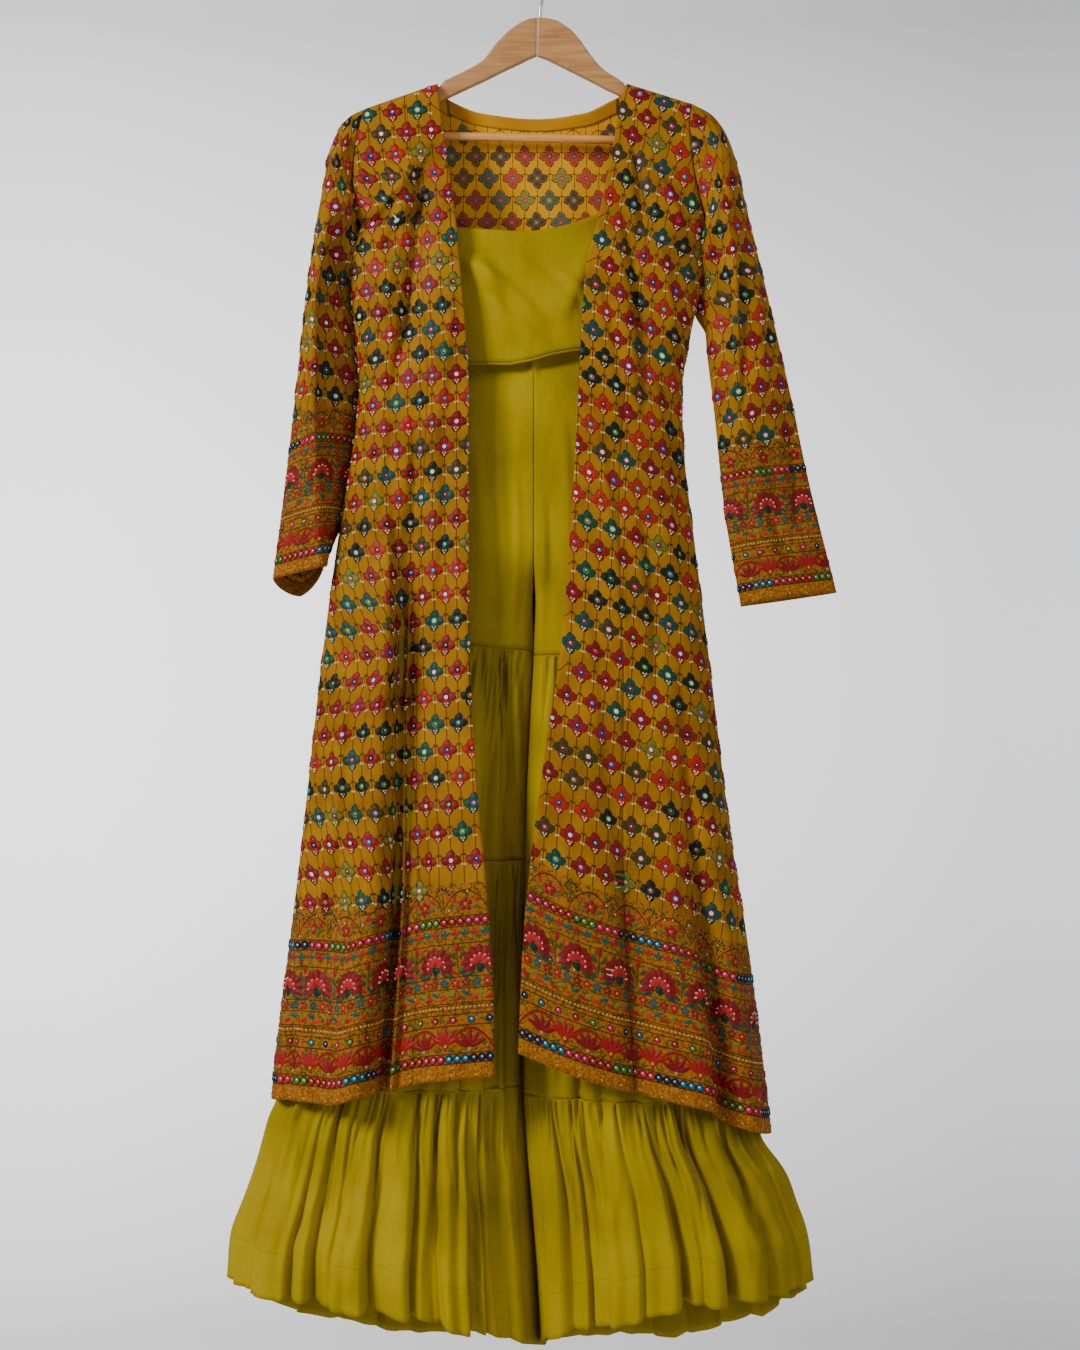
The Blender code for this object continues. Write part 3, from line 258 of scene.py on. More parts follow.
sleeveNames = "v outer outerDrop inner innerDrop front frontY back backY rise fall"
sleeves = {
    "Left": table(sleeveNames, [
        (0.00, -183, 160.3, -194.8, 282.3, -197.9, -22, -186.9, 18, 0, 0),
        (0.05, -201, 169, -196.8, 291, -206, -28, -199, 23, 0, 0),
        (0.11, -216, 187, -199.2, 304, -214, -33, -208, 26, 0, 0),
        (0.19, -224, 208, -203.4, 325, -221, -36, -214, 28, 0, 0),
        (0.29, -232, 250, -204, 355, -227, -38, -218, 29, 1, 1),
        (0.41, -242, 312, -200, 392, -233, -38, -221, 30, 2, 3),
        (0.55, -253, 398, -195.3, 445, -237, -38, -226, 32, 4, 6),
        (0.70, -265, 497, -200.2, 515, -238, -37, -236, 34, 6, 10),
        (0.84, -275, 580, -212.5, 586, -237, -36, -247, 35, 8, 16),
        (1.00, -286, 664, -232, 652, -233, -35, -259, 36, 5, 24),
    ]),
    "Right": table(sleeveNames, [
        (0.00, 162.6, 156, 179.7, 282.3, 162.15, -21, 172.15, 18, 0, 0),
        (0.05, 184, 168, 184.5, 291, 177, -29, 186, 23, 0, 0),
        (0.11, 199, 188, 184.5, 305, 190, -36, 193, 28, 0, 0),
        (0.19, 210, 218, 183, 325, 198, -38, 199, 29, 0, 0),
        (0.29, 219, 258, 180, 355, 203, -38, 203, 29, 0, 0),
        (0.41, 232, 312, 176.5, 388, 207, -35, 208, 28, 0, 0),
        (0.54, 249, 384, 178, 416, 209, -31, 216, 25, 0, 0),
        (0.70, 271, 480, 188, 499, 214, -25, 233, 21, 0, 0),
        (0.84, 290, 569, 197, 588, 230, -20, 247, 17, 0, 0),
        (1.00, 317.5, 679, 215, 694, 252, -17, 269, 14, 0, 0),
    ]),
}
sleeveTrough = {"Left": (0.6, 12.0), "Right": (0.6, 6.0)}
sleeveRidge = 0.35
sleeveTuck = {"Left": (6.5, 11.0, 0.85), "Right": (13.5, 9.0, 0.34)}


def sleeve(side):
    rows = sleeves[side]
    outward = -1 if side == "Left" else 1
    troughAt, troughDepth = sleeveTrough[side]
    tuckX, tuckY, tuckEnd = sleeveTuck[side]

    def place(v, u):
        at = {name: smooth(rows, name, v, "v") for name in rows if name != "v"}
        middle = np.array([(at["outer"] + at["inner"]) / 2, 0,
                           (at["outerDrop"] + at["innerDrop"]) / 2])
        angle = 2 * math.pi * np.asarray(u)
        power = 1 + sleeveRidge * ease((v - 0.05) / 0.25)
        c, s = (np.sign(w) * np.abs(w) ** power for w in (np.cos(angle), np.sin(angle)))
        outer = np.array([at["outer"] - middle[0], 0, at["outerDrop"] - middle[2]])
        front = np.array([at["front"] - middle[0], at["frontY"], -at["rise"]])
        back = np.array([at["back"] - middle[0], at["backY"], at["fall"]])
        deep = np.where(c[:, None] > 0, c[:, None] * front, -c[:, None] * back)
        points = middle + s[:, None] * outer + deep
        turn = np.angle(np.exp(1j * (angle + troughAt)))
        dent = troughDepth * ease((v - 0.12) / 0.25) * ease((1.05 - v) / 0.5)
        inward = middle - points
        inward[:, 2] = 0
        inward /= np.maximum(np.linalg.norm(inward, axis=1, keepdims=True), 1e-9)
        points += inward * (dent * np.exp(-((turn / 0.42) ** 2)))[:, None]
        inner = np.clip(-s, 0, 1) ** 2 * ease((v - 0.05) / 0.12) * (1 - ease((v - tuckEnd) / 0.15))
        points[:, 0] += outward * ((seamGap + 0.3) * (1 - ease(v / 0.1)) - tuckX * inner)
        points[:, 1] += tuckY * inner
        return points

    return place


cropTopEdge = table("x drop", [
    (-166, 311), (-135, 294), (-105, 287), (-87, 290.5), (-37, 294), (-18, 295), (20, 290),
    (57, 278), (80, 267.5), (92, 267.5), (112, 281), (151, 304),
])
cropHem = table("x drop", [
    (-166, 435), (-75, 434.5), (-30, 435), (-8, 430.5), (12, 424.5), (45, 419.5), (151, 417),
])
cropBackTop, cropBackHem = 300.0, (433.0, 417.0)
crop = table("level left right front back", [
    (260, -166, 151.5, -19, 13), (340, -168, 151.5, -22, 15), (440, -168, 149.8, -27, 18),
])


def cropPanel(face):
    def place(v, u):
        angle = np.linspace(-math.pi / 2, math.pi / 2, dense)
        q = np.sign(angle) * np.abs(np.sin(angle)) ** 0.8
        level = 285 + 150 * v
        left, right = smooth(crop, "left", level), smooth(crop, "right", level)
        x = left + (right - left) * (q + 1) / 2
        if face == "front":
            top = smooth(cropTopEdge, "drop", x, "x")
            hem = smooth(cropHem, "drop", x, "x")
        else:
            top = np.full_like(x, cropBackTop)
            hem = cropBackHem[0] + (cropBackHem[1] - cropBackHem[0]) * (q + 1) / 2
        seam = (-0.5 if face == "front" else 0.5) * seamGap
        y = seam + (smooth(crop, face, level) - seam) * np.cos(angle) ** 0.8
        return divide(np.stack([x, y, top + (hem - top) * v], axis=1), u)

    return place


legs = table("level outerLeft innerLeft innerRight outerRight front back", [
    (385, -158, -6.4, -6.4, 141.5, -15, 9),
    (412, -160, -6.4, -6.4, 142.5, -16, 10),
    (440, -162, -6.4, -6.4, 143, -17, 11),
    (470, -168, -6.4, -6.4, 144.5, -18.5, 12),
    (520, -182, -6.4, -6.4, 148.5, -20, 14),
    (600, -200, -6.4, -6.4, 157, -23, 18),
    (650, -208, -6.4, -6.4, 162.5, -24, 20),
    (690, -214, -8, -5, 168, -24.5, 21.5),
    (742, -221, -10, -4.5, 174.5, -25, 23),
    (800, -228, -13, -7, 181.5, -31, 27),
    (880, -235, -15.5, -9.5, 189.5, -41, 33),
    (964, -241, -17, -11, 197, -50, 39),
    (1040, -249, -18, -12, 206, -56, 44),
    (1120, -259, -18.5, -12.5, 216, -63, 49),
    (1208, -270, -18, -12, 225, -71, 55),
    (1254, -290, -14, -8, 236, -80, 62),
    (1297, -301, -9, -3, 259, -90, 70),
    (1339, -314, -5, 1, 272.5, -99, 78),
    (1382, -327, -1.5, 4.5, 285, -107, 84),
    (1430, -331, 2, 8, 289, -113, 88),
])
legSway = 9.0
# How far each seam round a leg lies below its level: outer side, front, inner side, back
seamLevels = [
    {"Left": (-24, -12, 0, -8), "Right": (-4, 2, 4, 0)},
    {"Left": (0, 0, 0, 0), "Right": (0, 2, 2, 0)},
    {"Left": (-12, -6, -4, -4), "Right": (6, 6, 2, 4)},
    {"Left": (-20, 3, 54, 60), "Right": (-17, -3, 52, 66)},
]


def legOutline(side, level):
    outer, inner = smooth(legs, "outer" + side, level), smooth(legs, "inner" + side, level)
    apart = 0.5 * seamGap * (-1 if side == "Left" else 1)
    front, back = smooth(legs, "front", level), smooth(legs, "back", level)
    closed = ease((level - forkStart) / (forkEnd - forkStart))
    angle = np.linspace(-math.pi / 2, math.pi / 2, dense)
    power = np.where(angle < 0, np.interp(level, (412, 700, 1208), (0.68, 0.85, 1.0)), 0.85)
    q = np.sign(angle) * np.abs(np.sin(angle)) ** power
    roundPart = np.cos(angle) ** power
    x = outer + (inner + apart - outer) * (q + 1) / 2
    faces = []
    for depth, gap in ((front, -0.5 * seamGap), (back, 0.5 * seamGap)):
        innerY = gap + (depth - gap) * (1 - closed)
        base = gap + (innerY - gap) * (q + 1) / 2
        y = base + (depth - base) * np.where(q < 0, roundPart, 1 - closed + closed * roundPart)
        swung = x + legSway * ease((level - 700) / 200) * ease(q) * np.sin(y / 32)
        faces.append(divide(np.stack([swung, y], axis=1), np.linspace(0, 1, dense)))
    return faces


def seamDrop(offsets, face, q):
    outer, front, inner, back = offsets
    if face == 0:
        return np.interp(q, [0, 0.5, 1], [outer, front, inner])
    return np.interp(q, [0, 0.22, 0.5, 1], [outer, outer + 0.65 * (back - outer), back, inner])


tiers = table("top bottom waves height", [
    (742, 964, 14, 5), (964, 1208, 20, 6.5), (1208, 1430, 24, 4.5),
])
# Small creases on the tiers and narrow ones under their gathered seams, in mm, with each tier's
# share
wrinkleLooks = {"count": 150, "width": (3.0, 8.0), "length": (16.0, 60.0), "amount": 2.6,
                "share": (0.35, 0.5, 1.0)}
gatherLooks = {"slits": 88, "depth": (2.0, 7.0), "length": (5.0, 14.5), "lean": 0.12,
               "width": 1.6, "growth": 0.024, "steep": 0.6, "slow": 1.5, "sharpness": 1.3,
               "share": (1.0, 1.0, 1.4), "fine": ((61, 1.2), (83, 0.9), (37, 1.6))}
# Lowest tier's valleys: how many fold widths each flank takes, how much deeper than in the solids,
# how sharp, and how much of their depth lifts the hem
valleyLooks = {"steep": 0.24, "slow": 1.9, "deeper": 1.4, "sharpness": 1.05, "hemLift": 0.35}
# Beside the inner line, where the legs meet, folds stay low: reach in mm and how much they lose
tierHeights = (220.0, 230.0)  # as the wrinkles and the slits take them
meetingLooks = {"lean": 3.0, "leanReach": 22.0, "reach": 36.0, "calm": 0.87, "slitReach": 26.0,
                "slitCalm": 0.95}
tierGirths = (420.0, 640.0, 850.0)
# Deep narrow folds of the lowest tier, as in the CAD source: place and width in shares of its way
# round
tierFolds = {
    "Left": table("place lean width depth", [
        (0.070, 0.004, 0.012, 6), (0.128, 0.006, 0.010, 13), (0.157, -0.004, 0.009, 15),
        (0.186, 0.004, 0.010, 4), (0.232, -0.006, 0.011, 20), (0.2855, 0.006, 0.010, 17),
        (0.326, -0.004, 0.009, 14), (0.3637, 0.004, 0.010, 18), (0.389, 0, 0.008, 8),
        (0.432, 0, 0.012, 9), (0.560, 0.004, 0.012, 12), (0.612, -0.006, 0.011, 17),
        (0.668, 0.006, 0.012, 14), (0.722, -0.004, 0.011, 18), (0.770, 0.004, 0.010, 12),
        (0.822, -0.006, 0.012, 18), (0.878, 0.004, 0.011, 15), (0.930, 0, 0.012, 10),
    ]),
    "Right": table("place lean width depth", [
        (0.060, 0.004, 0.012, 7), (0.123, -0.004, 0.013, 6), (0.1816, 0.006, 0.011, 17),
        (0.217, -0.004, 0.010, 4), (0.2483, 0.004, 0.010, 19), (0.3025, -0.006, 0.012, 8),
        (0.352, 0.004, 0.012, 5), (0.386, -0.004, 0.009, 12), (0.417, 0, 0.011, 18),
        (0.452, 0, 0.010, 10), (0.556, -0.004, 0.012, 13), (0.604, 0.006, 0.011, 16),
        (0.660, -0.004, 0.012, 17), (0.716, 0.006, 0.011, 13), (0.766, -0.004, 0.011, 18),
        (0.820, 0.004, 0.012, 15), (0.872, -0.006, 0.011, 17), (0.928, 0, 0.012, 9),
    ]),
}


# How far the cloth near a leg's inner line leans on the other leg
def legMeeting(side, level, x):
    toward = 1 if side == "Left" else -1
    away = np.abs(x - smooth(legs, "inner" + side, level)) / meetingLooks["leanReach"]
    return toward * meetingLooks["lean"] * ease(1 - away) * ease((level - forkEnd) / 60)


def yokePanel(side, face):
    index = 0 if face == "front" else 1

    def place(v, u):
        level = waistBottom + seamGap + (tiers["top"][0] - waistBottom - seamGap) * v
        line = divide(legOutline(side, level)[index], u)
        line[:, 0] += legMeeting(side, level, line[:, 0])
        return np.column_stack([line, level + seamDrop(seamLevels[0][side], index, u) * v**3])

    return place


def wavePhase(count, side, number):
    s = np.linspace(0, 1, 400)
    shift = 0.9 * number + (0.4 if side == "Right" else 0)
    swing = 0.3 * np.sin(6.283 * (3 * s + shift)) + 0.2 * np.sin(6.283 * (7 * s + 2 * shift))
    phase = count * s + swing * count / 24
    return s, phase - phase[0]


def waveHeight(s, count, side, number):
    base, phase = wavePhase(count, side, number)
    turned = np.interp(s % 1.0, base, phase)
    width = count / np.interp(s % 1.0, base, np.gradient(phase, base))
    shift = 1.3 * number + (0.5 if side == "Right" else 0)
    uneven = np.clip(width, 0.6, 1.3) * (0.85 + 0.15 * np.sin(6.283 * (2 * s + shift)))
    return (2 * (0.5 + 0.5 * np.cos(2 * math.pi * turned)) ** 0.6 - 1) * uneven


# Valleys between the lowest tier's broad folds: steep on one flank, slow on the other
def foldStand(side, s, v):
    total = np.zeros_like(s)
    facing = 1 if side == "Left" else -1
    for k, (at, lean, wide, depth) in enumerate(zip(*tierFolds[side].values())):
        away = (s - at - lean * (1 - v)) / wide * (facing if k % 3 else -facing)
        flank = np.where(away < 0, away / valleyLooks["steep"], away / valleyLooks["slow"])
        shape = np.exp(-(np.abs(flank) ** valleyLooks["sharpness"]))
        total -= valleyLooks["deeper"] * depth * shape
    return total * v**0.6


# Narrow creases that run down from the gathered seam, each of its own length and lean
def slits(s, v, around, high, number, side):
    looks = gatherLooks
    dice = random.Random(40 + number + (5 if side == "Right" else 0))
    total = np.zeros_like(s)
    for k in range(looks["slits"]):
        at = (k + dice.uniform(0.1, 0.9)) / looks["slits"]
        lean, depth = dice.uniform(-looks["lean"], looks["lean"]), dice.uniform(*looks["depth"])
        long = dice.uniform(*looks["length"]) ** 2
        down = v * high
        away = ((s - at + 0.5) % 1.0 - 0.5) * around - lean * down
        wide = looks["width"] + looks["growth"] * down
        flank = away / np.where(away < 0, looks["steep"] * wide, looks["slow"] * wide)
        crease = np.exp(-(np.abs(flank) ** looks["sharpness"]))
        total -= depth * crease * np.exp(-((down / long) ** 2))
    return total * ease(v / 0.02)


# Small gathers under a tier's top seam, which run out down the tier at uneven lengths
def fineGathers(s, v, number, side):
    seed = 3 * number + (1 if side == "Right" else 0)
    total = np.zeros_like(s)
    for count, size in gatherLooks["fine"]:
        reach = 0.30 + 0.18 * np.sin(6.283 * (s * 7 + seed * 0.37 + count * 0.11))
        wave = np.sin(6.283 * (count * s + 0.6 * np.sin(6.283 * 4 * s + seed)))
        total += size * (1 - np.abs(wave)) ** 0.7 * np.exp(-((v / reach) ** 2))
    return total * ease(v / 0.03) - 1.0 * np.exp(-((v / 0.3) ** 2))


# Short soft creases at random over a tier: how far they stand out
def wrinkles(s, v, around, high, seed, amount):
    dice = random.Random(seed)
    total = np.zeros_like(s)
    for k in range(wrinkleLooks["count"]):
        at, level = dice.random(), dice.uniform(0.1, 0.95)
        lean, wide = dice.uniform(-0.35, 0.35), dice.uniform(*wrinkleLooks["width"])
        long = dice.uniform(*wrinkleLooks["length"])
        depth = dice.uniform(0.4, 1.0) * dice.choice((-1, 1)) * amount
        down = (v - level) * high
        away = ((s - at + 0.5) % 1.0 - 0.5) * around - lean * down
        total += depth * np.exp(-((away / wide) ** 2)) * np.exp(-((down / long) ** 2))
    return total


def tier(side, number):
    top, bottom, count, height = (tiers[k][number] for k in ("top", "bottom", "waves", "height"))
    above = (tiers["waves"][number - 1], tiers["height"][number - 1]) if number else None
    high, low = seamLevels[number : number + 2]

    def place(v, u):
        level = top + seamGap + (bottom - top - seamGap) * v
        front, back = legOutline(side, level)
        across = np.linspace(0, 1, dense)
        offsets = [seamDrop(high[side], k, across) * (1 - v) + seamDrop(low[side], k, across) * v
                   for k in (0, 1)]
        ring = np.concatenate([front, back[::-1][1:]])
        lowered = np.concatenate([offsets[0], offsets[1][::-1][1:]])
        roundWay = np.linspace(0, 1, 4 * dense)
        line = divide(np.column_stack([ring, level + lowered]), roundWay)
        outward = planNormals(line[:, :2])
        if ((line[dense, :2] - ring.mean(axis=0)) * outward[dense]).sum() < 0:
            outward = -outward
        fromInner = np.abs(line[:, 0] - smooth(legs, "inner" + side, level))
        calm = 1 - meetingLooks["calm"] * ease(1 - fromInner / meetingLooks["reach"])
        stand = height * v**0.8 * waveHeight(roundWay, count, side, number)
        if above:
            carried = waveHeight(roundWay, above[0], side, number - 1)
            stand = stand + above[1] * (1 - ease(v / 0.3)) * carried
        if number == 2:
            folded = foldStand(side, roundWay, v)
            stand = stand + folded
            line[:, 2] += valleyLooks["hemLift"] * folded * v**2
        around = tierGirths[number]
        amount = wrinkleLooks["amount"] * wrinkleLooks["share"][number]
        fine = fineGathers(roundWay, v, number, side)
        fine += wrinkles(roundWay, v, around, tierHeights[0],
                         5 + number + (9 if side == "Left" else 0), amount) * ease(v / 0.1)
        fromInner = np.abs(line[:, 0] - smooth(legs, "inner" + side, level))
        close = 1 - meetingLooks["slitCalm"] * ease(1 - fromInner / meetingLooks["slitReach"])
        much = gatherLooks["share"][number] * close
        fine = fine * calm + slits(roundWay, v, around, tierHeights[1], number, side) * much
        line[:, :2] += outward * (stand * calm + fine)[:, None]
        line[:, 0] += legMeeting(side, level, line[:, 0])
        return np.stack([np.interp(u, roundWay, line[:, k]) for k in range(3)], axis=1)

    return place


def waistband(v, u):
    level = waistTop + (waistBottom - waistTop) * v
    leftFront, leftBack = legOutline("Left", level)
    rightFront, rightBack = legOutline("Right", level)
    ring = np.concatenate([leftFront, rightFront[::-1], rightBack, leftBack[::-1]])
    line = divide(ring, u)
    return np.column_stack([line, np.full(len(line), level)])


# The main creases, in the plane of the picture: each runs from its first point to its last, and
# depth is how far the cloth stands out there. Faces: f front, b back, l and r the sleeves.
creases = {
    "f": table("x1 drop1 x2 drop2 width depth", [
        (-112, 200, -190, 292, 9, 6.5), (-108, 240, -186, 330, 9, -6),
        (-130, 190, -158, 470, 14, -11), (-142, 226, -172, 420, 9, 3.5),
        (-150, 300, -188, 430, 8, 3.6), (-140, 330, -170, 520, 9, -4.4),
        (-92, 330, -122, 560, 11, 3.2), (-104, 480, -118, 760, 10, -3.8),
        (-160, 460, -190, 660, 9, 3.8), (-176, 500, -206, 700, 8, -4),
        (-134, 470, -168, 860, 16, -9), (-90, 620, -84, 900, 10, 3),
        (96, 190, 106, 320, 8, -6), (80, 250, 112, 520, 12, -9.5), (110, 214, 158, 300, 8, 4),
        (60, 330, 92, 560, 10, -3.6), (124, 300, 146, 440, 8, 3.6), (122, 420, 154, 720, 14, -8),
        (52, 470, 84, 760, 11, 3.4), (100, 560, 120, 820, 10, -5.5), (46, 640, 66, 960, 10, -3.4),
        (-158, 540, -203, 1500, 56, -27), (-166, 540, -212, 1500, 24, 13),
        (-208, 760, -238, 1060, 10, 4.6),
        (-222, 900, -252, 1200, 9, -4), (-120, 820, -112, 1190, 11, 3.4),
        (60, 800, 92, 1500, 18, -8), (28, 900, 40, 1170, 10, -3.6),
        (120, 760, 150, 1160, 11, -4.2),
        (158, 900, 182, 1480, 18, -4.5), (196, 860, 222, 1200, 9, 3.8),
    ]),
    "b": table("x1 drop1 x2 drop2 width depth", [
        (-150, 220, -60, 320, 9, 4.2), (130, 220, 50, 330, 9, 4.2),
        (-120, 262, -20, 380, 9, -3.8), (104, 270, 14, 372, 8, -3.8),
        (-160, 380, -120, 560, 9, 4), (132, 380, 96, 560, 9, 4),
        (-60, 360, -44, 640, 10, -3.8), (46, 380, 34, 660, 10, 3.4),
        (-10, 520, -16, 860, 10, -3.6),
        (-110, 560, -130, 900, 10, -4), (90, 560, 108, 900, 10, -4),
        (150, 640, 176, 960, 9, 3.6),
        (-180, 640, -204, 960, 9, 3.6), (20, 800, 30, 1180, 11, 3.4),
        (-70, 780, -84, 1180, 11, 3.6),
    ]),
    "l": table("x1 drop1 x2 drop2 width depth", [
        (-198, 256, -198, 350, 12, 9),
        (-176, 218, -232, 296, 8, 6.5), (-172, 244, -236, 330, 7, -6.5),
        (-196, 190, -228, 232, 6, 4),
        (-236, 320, -239, 520, 7, -7.5), (-226, 320, -210, 420, 7, 5),
        (-232, 300, -244, 400, 6, 3),
        (-224, 420, -212, 520, 7, 4.2), (-246, 380, -232, 520, 7, 4.2),
        (-262, 480, -246, 610, 7, -4),
        (-216, 520, -236, 620, 7, 3.6),
    ]),
    "r": table("x1 drop1 x2 drop2 width depth", [
        (180, 262, 180, 350, 10, 6),
        (183, 232, 207, 300, 7, -5), (206, 268, 211, 520, 7, -6.5), (190, 200, 212, 246, 6, 4),
        (222, 300, 238, 470, 7, 4.2), (206, 470, 246, 600, 8, 4), (256, 470, 272, 640, 8, -4.2),
        (190, 400, 214, 560, 7, 3.6), (232, 560, 262, 668, 8, -3.8),
    ]),
    "crop": table("x1 drop1 x2 drop2 width depth", [
        (-84, 312, 14, 408, 16, 8), (-30, 306, 62, 392, 13, -5), (-64, 352, 34, 432, 11, -4.6),
        (66, 286, 16, 400, 13, 6.5), (-110, 310, -30, 360, 12, 4.5), (90, 300, 120, 400, 12, 3.5),
        (8, 330, 72, 384, 9, 6), (-70, 300, -30, 430, 12, 4),
    ]),
    "tiers": table("x1 drop1 x2 drop2 width depth", [
        (-50, 690, -46, 1020, 7, -8), (-68, 700, -66, 1000, 9, -5),
        (-34, 900, -26, 1260, 8, -10),
        (-34, 700, -28, 960, 8, 4.5), (20, 690, 26, 1000, 8, -6), (36, 700, 44, 1000, 8, 4.5),
        (-56, 940, -54, 1260, 8, -7), (8, 930, 12, 1260, 8, -7), (30, 940, 38, 1260, 8, -6),
        (-78, 960, -86, 1240, 9, 5), (-120, 700, -136, 1000, 10, -5),
        (96, 700, 112, 1000, 10, -5),
        (-150, 940, -176, 1240, 10, -6), (126, 940, 150, 1240, 10, -6),
    ]),
    "yoke": table("x1 drop1 x2 drop2 width depth", [
        (-46, 450, -38, 740, 9, -3.6), (-28, 520, -32, 740, 7, 2.6), (22, 470, 26, 740, 9, 3),
        (-70, 500, -64, 740, 9, 3.2), (-54, 560, -50, 742, 6, -3), (6, 560, 4, 742, 7, -3),
        (46, 480, 56, 740, 9, -3), (-120, 470, -140, 740, 12, 3.2),
        (100, 470, 116, 740, 12, 3.2),
        (-200, 463, 190, 422, 8, -12),
    ]),
}


# A crease bows a little, grows from both ends, and has one steep flank: shares of its length and
# width, with the steep flank's most in mm
creaseLooks = {"bow": 0.12, "ends": 0.3, "start": 0.7, "spread": 0.6, "steep": 0.45,
               "steepMost": 5.5, "slow": 1.25, "sharpness": 1.7}


# How far the creases push points (mm: x, y, drop) out
def creaseOffset(points, rows):
    looks = creaseLooks
    total = np.zeros(points.shape[:-1])
    for x1, drop1, x2, drop2, width, depth in zip(*rows.values()):
        start, run = np.array([x1, drop1]), np.array([x2 - x1, drop2 - drop1])
        away = points[..., [0, 2]] - start
        t = (away @ run) / (run @ run)
        bend = looks["bow"] * np.linalg.norm(run) * (t - t * t)
        side = (away @ np.array([-run[1], run[0]])) / np.linalg.norm(run) + bend
        grown = ease(t / looks["ends"]) * ease((1 - t) / looks["ends"])
        wide = width * (looks["start"] + looks["spread"] * t)
        away = side / wide * np.sign(run[1]) * np.sign(depth)
        steep = min(looks["steep"], looks["steepMost"] / width)
        flank = np.where(away < 0, away / steep, away / looks["slow"])
        total += depth * grown * np.exp(-(np.abs(flank) ** looks["sharpness"]))
    return total


stillColumns, stillLast, stillRows = 4.0, 7.0, 5.0  # over how many of them the creases begin
frontPush = (0.2, 1.0, 0.2)  # a front's folds stand toward the viewer, so its side seam stays


# Points, outward normals and measured cloth coordinates of a surface. columns is an array or a
# function of the row; still names the edges that the creases leave alone.
def makeGrid(place, rows, columns, creaseRows=None, tube=False, wall=jacketWall, still=()):
    across = columns if callable(columns) else (lambda row: columns)
    points = np.array([place(row, across(row)) for row in rows])
    normals, sign = gridNormals(points, tube)
    if creaseRows is not None:
        push = creaseOffset(points, creaseRows)
        count = points.shape[1]
        edge = np.minimum(np.arange(count), np.arange(count)[::-1]) / stillColumns
        if "sides" in still:
            push = push * ease(edge)[None, :]
        if "flanks" in still:
            push = push * normals[..., 1] ** 2
        if "last" in still:
            push = push * ease(np.arange(count)[::-1] / stillLast)[None, :]
        push = push * ease(np.arange(len(rows)) / stillRows)[:, None]
        lean = frontPush if "last" in still else (1.0, 1.0, 1.0)
        points = points + normals * lean * push[..., None]
        normals, sign = gridNormals(points, tube)
    acrossMm = np.zeros(points.shape[:2])
    acrossMm[:, 1:] = np.cumsum(np.linalg.norm(np.diff(points, axis=1), axis=2), axis=1)
    downMm = np.zeros(points.shape[:2])
    downMm[1:] = np.cumsum(np.linalg.norm(np.diff(points, axis=0), axis=2), axis=0)
    world = points * (mm, mm, -mm)
    return {"points": world, "normals": normals * (1, 1, -1), "across": acrossMm,
            "down": downMm, "hem": downMm[-1] - downMm, "sign": -sign, "tube": tube, "wall": wall}


# Unit normals that point out of the garment, and the sign that they were turned by
def gridNormals(points, tube):
    if tube:
        ring = points[:, :-1]
        ahead = np.roll(ring, -1, axis=1) - np.roll(ring, 1, axis=1)
        ahead = np.concatenate([ahead, ahead[:, :1]], axis=1)
    else:
        ahead = np.gradient(points, axis=1)
    normal = np.cross(ahead, np.gradient(points, axis=0))
    normal /= np.maximum(np.linalg.norm(normal, axis=2, keepdims=True), 1e-9)
    middle = len(points) // 2
    away = points[middle, :, :2].copy()
    away[:, 0] -= away[:, 0].mean()
    if tube:
        away[:, 1] -= away[:, 1].mean()
    sign = 1 if (normal[middle, :, :2] * away).sum() > 0 else -1
    return normal * sign, sign


# Adds the places on the straight grain: u across the threads and v along them. shift gives the
# start of each row, and origin is the column that u is measured from.
def fitGrain(grid, axis=(0.0, 1.0), shift=None, origin=None, slope=0.0):
    points = grid["points"] / (mm, mm, -mm)
    grain = np.array([axis[0], 0.0, axis[1]]) / math.hypot(*axis)
    steps = np.diff(points, axis=1)
    steps = steps - (steps @ grain)[..., None] * grain
    u = np.zeros(points.shape[:2])
    u[:, 1:] = np.cumsum(np.linalg.norm(steps, axis=2), axis=1)
    if origin is not None:
        u = u - u[:, origin : origin + 1]
    if shift is not None:
        u = u + np.array(shift)[:, None]
    grid["u"], grid["v"] = u, points @ grain - shoulderTop - slope * u
    return grid


def linear(hexColour):
    channels = [int(hexColour[i : i + 2], 16) / 255 for i in (0, 2, 4)]
    return (*(c / 12.92 if c < 0.04045 else ((c + 0.055) / 1.055) ** 2.4 for c in channels), 1.0)


# Inputs of a node, by number or name: a node stands for its first output, other values are plain
def setInputs(node, links):
    for key, value in links.items():
        if isinstance(value, bpy.types.Node):
            value = next(socket for socket in value.outputs if socket.enabled)
        if isinstance(value, bpy.types.NodeSocket):
            node.id_data.links.new(value, node.inputs[key])
        else:
            node.inputs[key].default_value = value


# Adds a node with its settings and links. A second word in kind is its operation, links are in
# the order of the inputs or in a dictionary, and stops are the places and colours of a ramp.
def addNode(tree, kind, *links, stops=(), **settings):
    kind, _, operation = kind.partition(" ")
    node = tree.nodes.new("ShaderNode" + kind)
    for name, value in {**settings, **({"operation": operation} if operation else {})}.items():
        setattr(node, name, value)
    named = links and isinstance(links[0], dict)
    used = [number for number, socket in enumerate(node.inputs) if socket.enabled]
    setInputs(node, links[0] if named else dict(zip(used, links)))
    for number, (place, colour) in enumerate(stops):
        item = (node.color_ramp.elements[number] if number < 2
                else node.color_ramp.elements.new(1.0))
        item.position, item.color = place, linear(colour)
    return node


